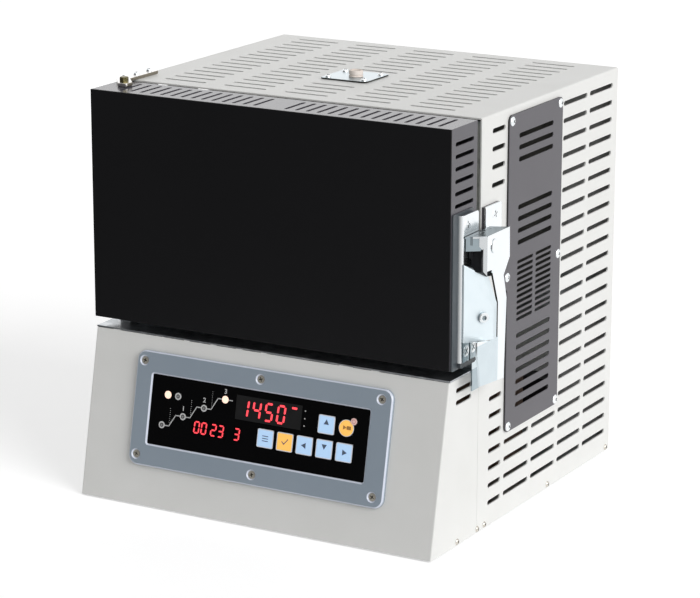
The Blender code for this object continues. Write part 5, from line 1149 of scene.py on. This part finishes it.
# Latch lever: pressed from 2 mm steel and bright zinc plated. Its outer cheek hangs down as
# the handle; a roof and a slanted front join it to the hook, which turns on a flush rivet.
CHEEK = ((-0.0348, 0.3080), (0.0115, 0.3080), (0.0123, 0.2790), (0.0000, 0.2635),
         (0.0068, 0.2400), (0.0032, 0.1615), (-0.0466, 0.1655), (-0.0485, 0.1815),
         (-0.0530, 0.1970), (-0.0530, 0.2100), (-0.0290, 0.2056), (-0.0112, 0.2056),
         (-0.0112, 0.2395), (-0.0235, 0.2705), (-0.0250, 0.2738), (-0.0348, 0.2742))
CHEEK_SHEET = 0.002
ROOF_FOOT, ROOF_SHEET = 0.3062, 0.0017
LEVER_X = 0.225
ON_SIDE = Matrix(((0, 0, 1, 0), (1, 0, 0, 0), (0, 1, 0, 0), (0, 0, 0, 1)))
lever = pressed(CHEEK, Matrix.Translation((LEVER_X - CHEEK_SHEET, 0, 0)) @ ON_SIDE, CHEEK_SHEET)
roof = pressed(((0.2080, -0.0477), (0.2240, -0.0351), (0.2240, 0.0105), (0.2080, 0.0030)),
               Matrix.Translation((0, 0, ROOF_FOOT)), ROOF_SHEET)
lever = cut_away(lever, roof, operation="UNION")
FRONT_LEFT = Vector((0.2080, -0.0477, 0))
FRONT_RUN = Vector((0.2250, -0.0348, 0)) - FRONT_LEFT
ON_FRONT = Matrix.Translation(FRONT_LEFT) @ Matrix.Rotation(
    math.atan2(FRONT_RUN.y, FRONT_RUN.x), 4, "Z") @ Matrix.Rotation(math.pi / 2, 4, "X")
reach = FRONT_RUN.length
outer = pressed(((reach, 0.3075), (reach - 0.0078, 0.3075), (reach - 0.0078, 0.2984),
                 (reach - 0.0040, 0.2944), (reach - 0.0040, 0.2745), (reach, 0.2700)),
                ON_FRONT @ Matrix.Translation((0, 0, -0.002)), 0.0020)
lever = cut_away(lever, outer, operation="UNION")
inner = pressed(((0.0010, 0.2940), (reach - 0.002, 0.2940), (reach - 0.002, 0.3072),
                 (0.0010, 0.3072)), ON_FRONT @ Matrix.Translation((0, 0, -0.0018)), 0.0010)
lever = cut_away(lever, inner, operation="UNION")
NOTCH_START, NOTCH_END, NOTCH_FOOT = 0.0050, 0.0074, 0.2995
notch = pressed(((NOTCH_START, NOTCH_FOOT), (NOTCH_END, NOTCH_FOOT), (NOTCH_END, 0.3200),
                 (NOTCH_START, 0.3200)),
                ON_FRONT @ Matrix.Translation((0, 0, -0.0014)), 0.012)
lever = cut_away(lever, notch)
groove = new_block((0.2125, -0.038, 0.3050), (0.2133, -0.002, 0.3100))
lever = cut_away(lever, groove)
FINGER_Y, FINGER_TOP = -0.0100, 0.2060
FINGER_SHADE, FRONT_SHADE, SHADOW, GREY_SHADE = 1, 2, 3, 4
# Faces take toned zinc as painted shade: the finger below the guard pale blue, the slanted front
# grey, the roof and the notch darker grey, the cut edge by the finger dark.
split_at(lever, 2, FINGER_TOP)
split_at(lever, 1, FINGER_Y)
for face in lever.faces:
    middle = face.calc_center_median()
    along = (middle - FRONT_LEFT).dot(FRONT_RUN.normalized())
    if middle.z < FINGER_TOP and middle.y < FINGER_Y:
        face.material_index = FINGER_SHADE
    elif (NOTCH_START - 0.0001 < along < NOTCH_END + 0.0001 and middle.z > NOTCH_FOOT - 0.0005
          and middle.x < 0.216):
        face.material_index = GREY_SHADE
    elif middle.z > 0.3 and face.normal.z > 0.9:
        face.material_index = GREY_SHADE
    elif middle.x < LEVER_X - 0.009 and face.normal.y < -0.5:
        face.material_index = FRONT_SHADE
    elif -0.026 < middle.y < FINGER_Y and middle.z < 0.272 and face.normal.y < -0.5:
        face.material_index = SHADOW
handle = add_piece("latch_lever_pressing", lever, "latch", "polished_zinc", zinc, pale_zinc_shade,
                   zinc_painted_shadow, recess, shade_zinc)
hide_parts("latch_lever")
soften(handle, 0.0004)

# Hook and cam inside the lever: a blackened steel casting that fills the space under the
# roof, with the finger that closes behind the keeper pin. Its black is also painted shade for
# the dark cavity inside the lever.
black_steel_and_shade = finish("blackened_steel_and_shade", "#1d1e20", 0.4, {"Scale": 350.0, "Detail": 4.0},
                     metallic=0.7, tones=("#141517", "#2c2e31"), bump=(0.3, 0.0002))
PIVOT = Vector((0, -0.020, 0.296))
CATCH = Vector((0, 0.004, 0.276))
reach_in = (CATCH - PIVOT).length + 0.0030
reach_out = reach_in + 0.0026
start = math.atan2(CATCH.z - PIVOT.z, CATCH.y - PIVOT.y)
finger = [(reach_out, -23 + 33 * step / 6) for step in range(7)]
finger += [(reach_in, 10 - 15.5 * step / 4) for step in range(5)]
outline = [(-0.026, 0.304), (-0.036, 0.300), (-0.0405, 0.286), (-0.0400, 0.274),
           (-0.0300, 0.268), (-0.0160, 0.266)]
for radius, degrees in finger:
    angle = start + math.radians(degrees)
    outline.append((PIVOT.y + radius * math.cos(angle), PIVOT.z + radius * math.sin(angle)))
outline += [(-0.014, 0.288), (-0.012, 0.300)]
bm = pressed(outline, Matrix.Translation((0.2115, 0, 0)) @ ON_SIDE, 0.0105)
inner_cheek = new_block((0.2083, -0.0400, 0.2860), (0.2120, -0.0040, 0.3055))
bm = cut_away(bm, inner_cheek, operation="UNION")
hook = add_piece("latch_hook_casting", bm, "latch", "polished_zinc", black_steel_and_shade)
soften(hook, 0.0004)

# Rivet that the lever turns on: its head is pressed almost flush, so that only a thin ring of
# shadow marks it on the cheek.
bm = turned([(0, 0.0012), (0.0058, 0.0012), (0.0068, 0.0008), (0.0070, 0), (0.0030, 0),
             (0.0030, -0.017), (0, -0.017)], 40)
where = (Matrix.Translation((LEVER_X + 0.0003, PIVOT.y, PIVOT.z))
         @ Matrix.Rotation(math.pi / 2, 4, "Y"))
bmesh.ops.transform(bm, matrix=where, verts=bm.verts)
rivet = add_piece("latch_rivet", bm, "door", "polished_zinc", zinc)
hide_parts("latch_pivot_pin")

# Guard strip: bent from 1.5 mm steel, zinc plated and bolted to the lever. It closes the gap
# between the door and the lever, so that nothing catches behind the handle.
GUARD_LEFT = Vector((0.2083, -0.0495, 0))
GUARD_CREASE = Vector((0.2268, -0.02315, 0))
GUARD_SECTIONS = ((0.2060, 1.0, (0, 0.00615, 0.2060), 0.2060),
                  (0.2360, 1.0, (0, 0.00615, 0.2405), 0.2360),
                  (0.2695, 0.6324, (0.0015, 0.0055, 0.2716), 0.2815))
guard_run = GUARD_CREASE - GUARD_LEFT
guard_out = Vector((guard_run.y, -guard_run.x, 0)).normalized()
GUARD_SHEET = 0.0015
inward = guard_out * -GUARD_SHEET
back = Vector((-GUARD_SHEET, 0, 0))
bm = bmesh.new()
rings = []
for bend_z, share, lip, left_z in GUARD_SECTIONS:
    left = GUARD_LEFT + Vector((0, 0, left_z))
    bend = GUARD_LEFT + guard_run * share + Vector((0, 0, bend_z))
    edge = Vector((bend.x + lip[0], bend.y + lip[1], lip[2]))
    spots = (left, bend, edge, edge + back, bend + (inward + back) / 2, left + inward)
    verts = [bm.verts.new(spot) for spot in spots]
    rings.append([bm.edges.new(pair) for pair in zip(verts, verts[1:] + verts[:1])])
for below, above in zip(rings, rings[1:]):
    bmesh.ops.bridge_loops(bm, edges=below + above)
for ring in (rings[0], rings[-1]):
    bmesh.ops.contextual_create(bm, geom=ring)
bmesh.ops.recalc_face_normals(bm, faces=bm.faces)
# The guard's zinc is rougher than the lever's and toned a duller pale blue; the tone is painted
# shade.
brushed_zinc_and_shade = plated("brushed_zinc_and_shade", "#d3dee3", "#dfe7eb", 0.5)
strip = add_piece("latch_guard_strip", bm, "latch", "polished_zinc", brushed_zinc_and_shade, crease=12)
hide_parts("latch_guard")
soften(strip, 0.0003)

# Bolt through the guard: a cap head with a hexagon socket, zinc plated. Its flank and socket
# take a darker grey zinc than its face: painted shade.
bm = turned([(0, 0.0032), (0.0043, 0.0032), (0.0051, 0.0025), (0.0053, 0), (0, 0)], 40)
for face in bm.faces:
    face.material_index = int(face.normal.z < 0.6)
tool = bmesh.new()
paint_faces(cylinder(tool, 0.0026, 0.004, Matrix.Translation((0, 0, 0.0039)), 6), 1)
bm = cut_away(bm, tool)
bolt_seat = GUARD_LEFT + guard_run * 0.64 + Vector((0, 0, 0.229))
bmesh.ops.transform(bm, matrix=facing(bolt_seat, guard_out, 0.6), verts=bm.verts)
bolt = add_piece("latch_guard_bolt", bm, "latch", "polished_zinc", zinc, shade_zinc)
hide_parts("latch_bolt")

# Camera: where the photograph was taken from, with a long lens from in front and to the right.
AZIMUTH = math.radians(29.57)
ELEVATION = math.radians(15.02)
ROLL = math.radians(0.09)
FOCAL_LENGTH, DISTANCE = 146.53, 2.7055
target = Vector((0.07875, -0.169754, 0.2361))
back = Vector((math.sin(AZIMUTH) * math.cos(ELEVATION),
               -math.cos(AZIMUTH) * math.cos(ELEVATION), math.sin(ELEVATION)))
level = Vector((math.cos(AZIMUTH), math.sin(AZIMUTH), 0))
rise = back.cross(level)
right = level * math.cos(ROLL) + rise * math.sin(ROLL)
up = rise * math.cos(ROLL) - level * math.sin(ROLL)
lens = bpy.data.cameras.new("camera")
lens.sensor_fit = "HORIZONTAL"
lens.sensor_width = 36
lens.lens = FOCAL_LENGTH
camera = bpy.data.objects.new("camera", lens)
turn = Matrix((right, up, back)).transposed().to_4x4()
camera.matrix_world = Matrix.Translation(target + back * DISTANCE) @ turn
bpy.context.scene.collection.objects.link(camera)
bpy.context.scene.camera = camera

# Studio: a pale floor, a wide soft lamp from the right and a white room. The floor takes a
# little of its white from what the camera sees, so that only the shadow darkens it.
scene = bpy.context.scene
scene.view_settings.view_transform = "Standard"


def set_light(light, place, toward):
    """Puts a light at a place, shining from a direction."""
    holder = bpy.data.objects.new(light.name, light)
    holder.location = place
    holder.rotation_euler = toward.to_track_quat("Z", "Y").to_euler()
    scene.collection.objects.link(holder)


lamp = bpy.data.lights.new("soft_key", "SUN")
lamp.energy = 2.1
lamp.angle = math.radians(40)
set_light(lamp, (0, 0, 0), Vector((0.62, -0.18, 0.31)).normalized())

# Softbox low behind the left, which the camera sees only as gloss along the level sheets.
softbox = bpy.data.lights.new("low_softbox", "AREA")
softbox.shape = "RECTANGLE"
softbox.size = 2.4
softbox.size_y = 1.0
softbox.energy = 3.9
toward = Vector((-0.477, 0.840, 0.30)).normalized()
set_light(softbox, toward * 2.6 + Vector((0, 0, 0.4)), toward)

world = bpy.data.worlds.new("white_room")
scene.world = world
world.use_nodes = True
tree = world.node_tree
glow = tree.nodes["Background"]
path = add_node(tree, "ShaderNodeLightPath")
seen = add_node(tree, "ShaderNodeMath", {0: path.outputs["Is Camera Ray"],
                                         1: path.outputs["Is Glossy Ray"]}, operation="ADD")
seen = add_node(tree, "ShaderNodeMath", {0: seen.outputs[0],
                                         1: path.outputs["Is Transmission Ray"]},
                operation="ADD", use_clamp=True)
strength = add_node(tree, "ShaderNodeMapRange", {0: seen.outputs[0], 3: 0.38, 4: 1.0})
tree.links.new(strength.outputs[0], glow.inputs["Strength"])
glow.inputs["Color"].default_value = (1, 1, 1, 1)


def set_mesh(name, bm, material):
    """Puts a mesh in the scene that isn't part of the object."""
    mesh = bpy.data.meshes.new(name)
    bm.to_mesh(mesh)
    bm.free()
    mesh.materials.append(material)
    holder = bpy.data.objects.new(name, mesh)
    scene.collection.objects.link(holder)
    return holder


floor_paint, tree, shader = start_material("matt_floor_paint", "#e6e6e6", 0.9)
path = add_node(tree, "ShaderNodeLightPath")
seen = add_node(tree, "ShaderNodeMath", {0: path.outputs["Is Camera Ray"],
                                         1: path.outputs["Is Glossy Ray"]}, operation="ADD",
                use_clamp=True)
lift = add_node(tree, "ShaderNodeMath", {0: seen.outputs[0], 1: 0.5}, operation="MULTIPLY")
shader.inputs["Emission Color"].default_value = (1, 1, 1, 1)
tree.links.new(lift.outputs[0], shader.inputs["Emission Strength"])
bm = bmesh.new()
bmesh.ops.create_circle(bm, cap_ends=True, radius=12, segments=48)
floor = set_mesh("floor", bm, floor_paint)

# Flag: a dark cloth on a curved rail in front and to the left, which only reflections see. It
# keeps the black door deep and gives the zinc of the latch its darker side.
flag_cloth, tree, shader = start_material("black_flag_cloth", "#050505", 0.9, specular=0.0)
place = add_node(tree, "ShaderNodeTexCoord")
turn = add_node(tree, "ShaderNodeSeparateXYZ", {0: place.outputs["Object"]})
angle = add_node(tree, "ShaderNodeMath", {0: turn.outputs[1], 1: turn.outputs[0]},
                 operation="ARCTAN2")
fade = add_node(tree, "ShaderNodeMapRange", {0: angle.outputs[0], 1: math.radians(-105),
                                             2: math.radians(5), 3: 0.86, 4: 0.0})
tree.links.new(fade.outputs[0], shader.inputs["Alpha"])
bm = bmesh.new()
rail = [bm.verts.new(spot) for spot in ((0.48, 0, 0.001), (0.84, 0, 0.001), (0.9, 0, 0.06),
                                        (0.9, 0, 1.1))]
for pair in zip(rail, rail[1:]):
    bm.edges.new(pair)
bmesh.ops.rotate(bm, verts=bm.verts, cent=(0, 0, 0),
                 matrix=Matrix.Rotation(math.radians(4), 3, "Z"))
bmesh.ops.spin(bm, geom=bm.verts[:] + bm.edges[:], cent=(0, 0, 0), axis=(0, 0, 1),
               angle=math.radians(-164), steps=48, use_duplicate=False)
flag = set_mesh("flag", bm, flag_cloth)
for rays in ("camera", "diffuse", "transmission", "shadow"):
    setattr(flag, "visible_" + rays, False)
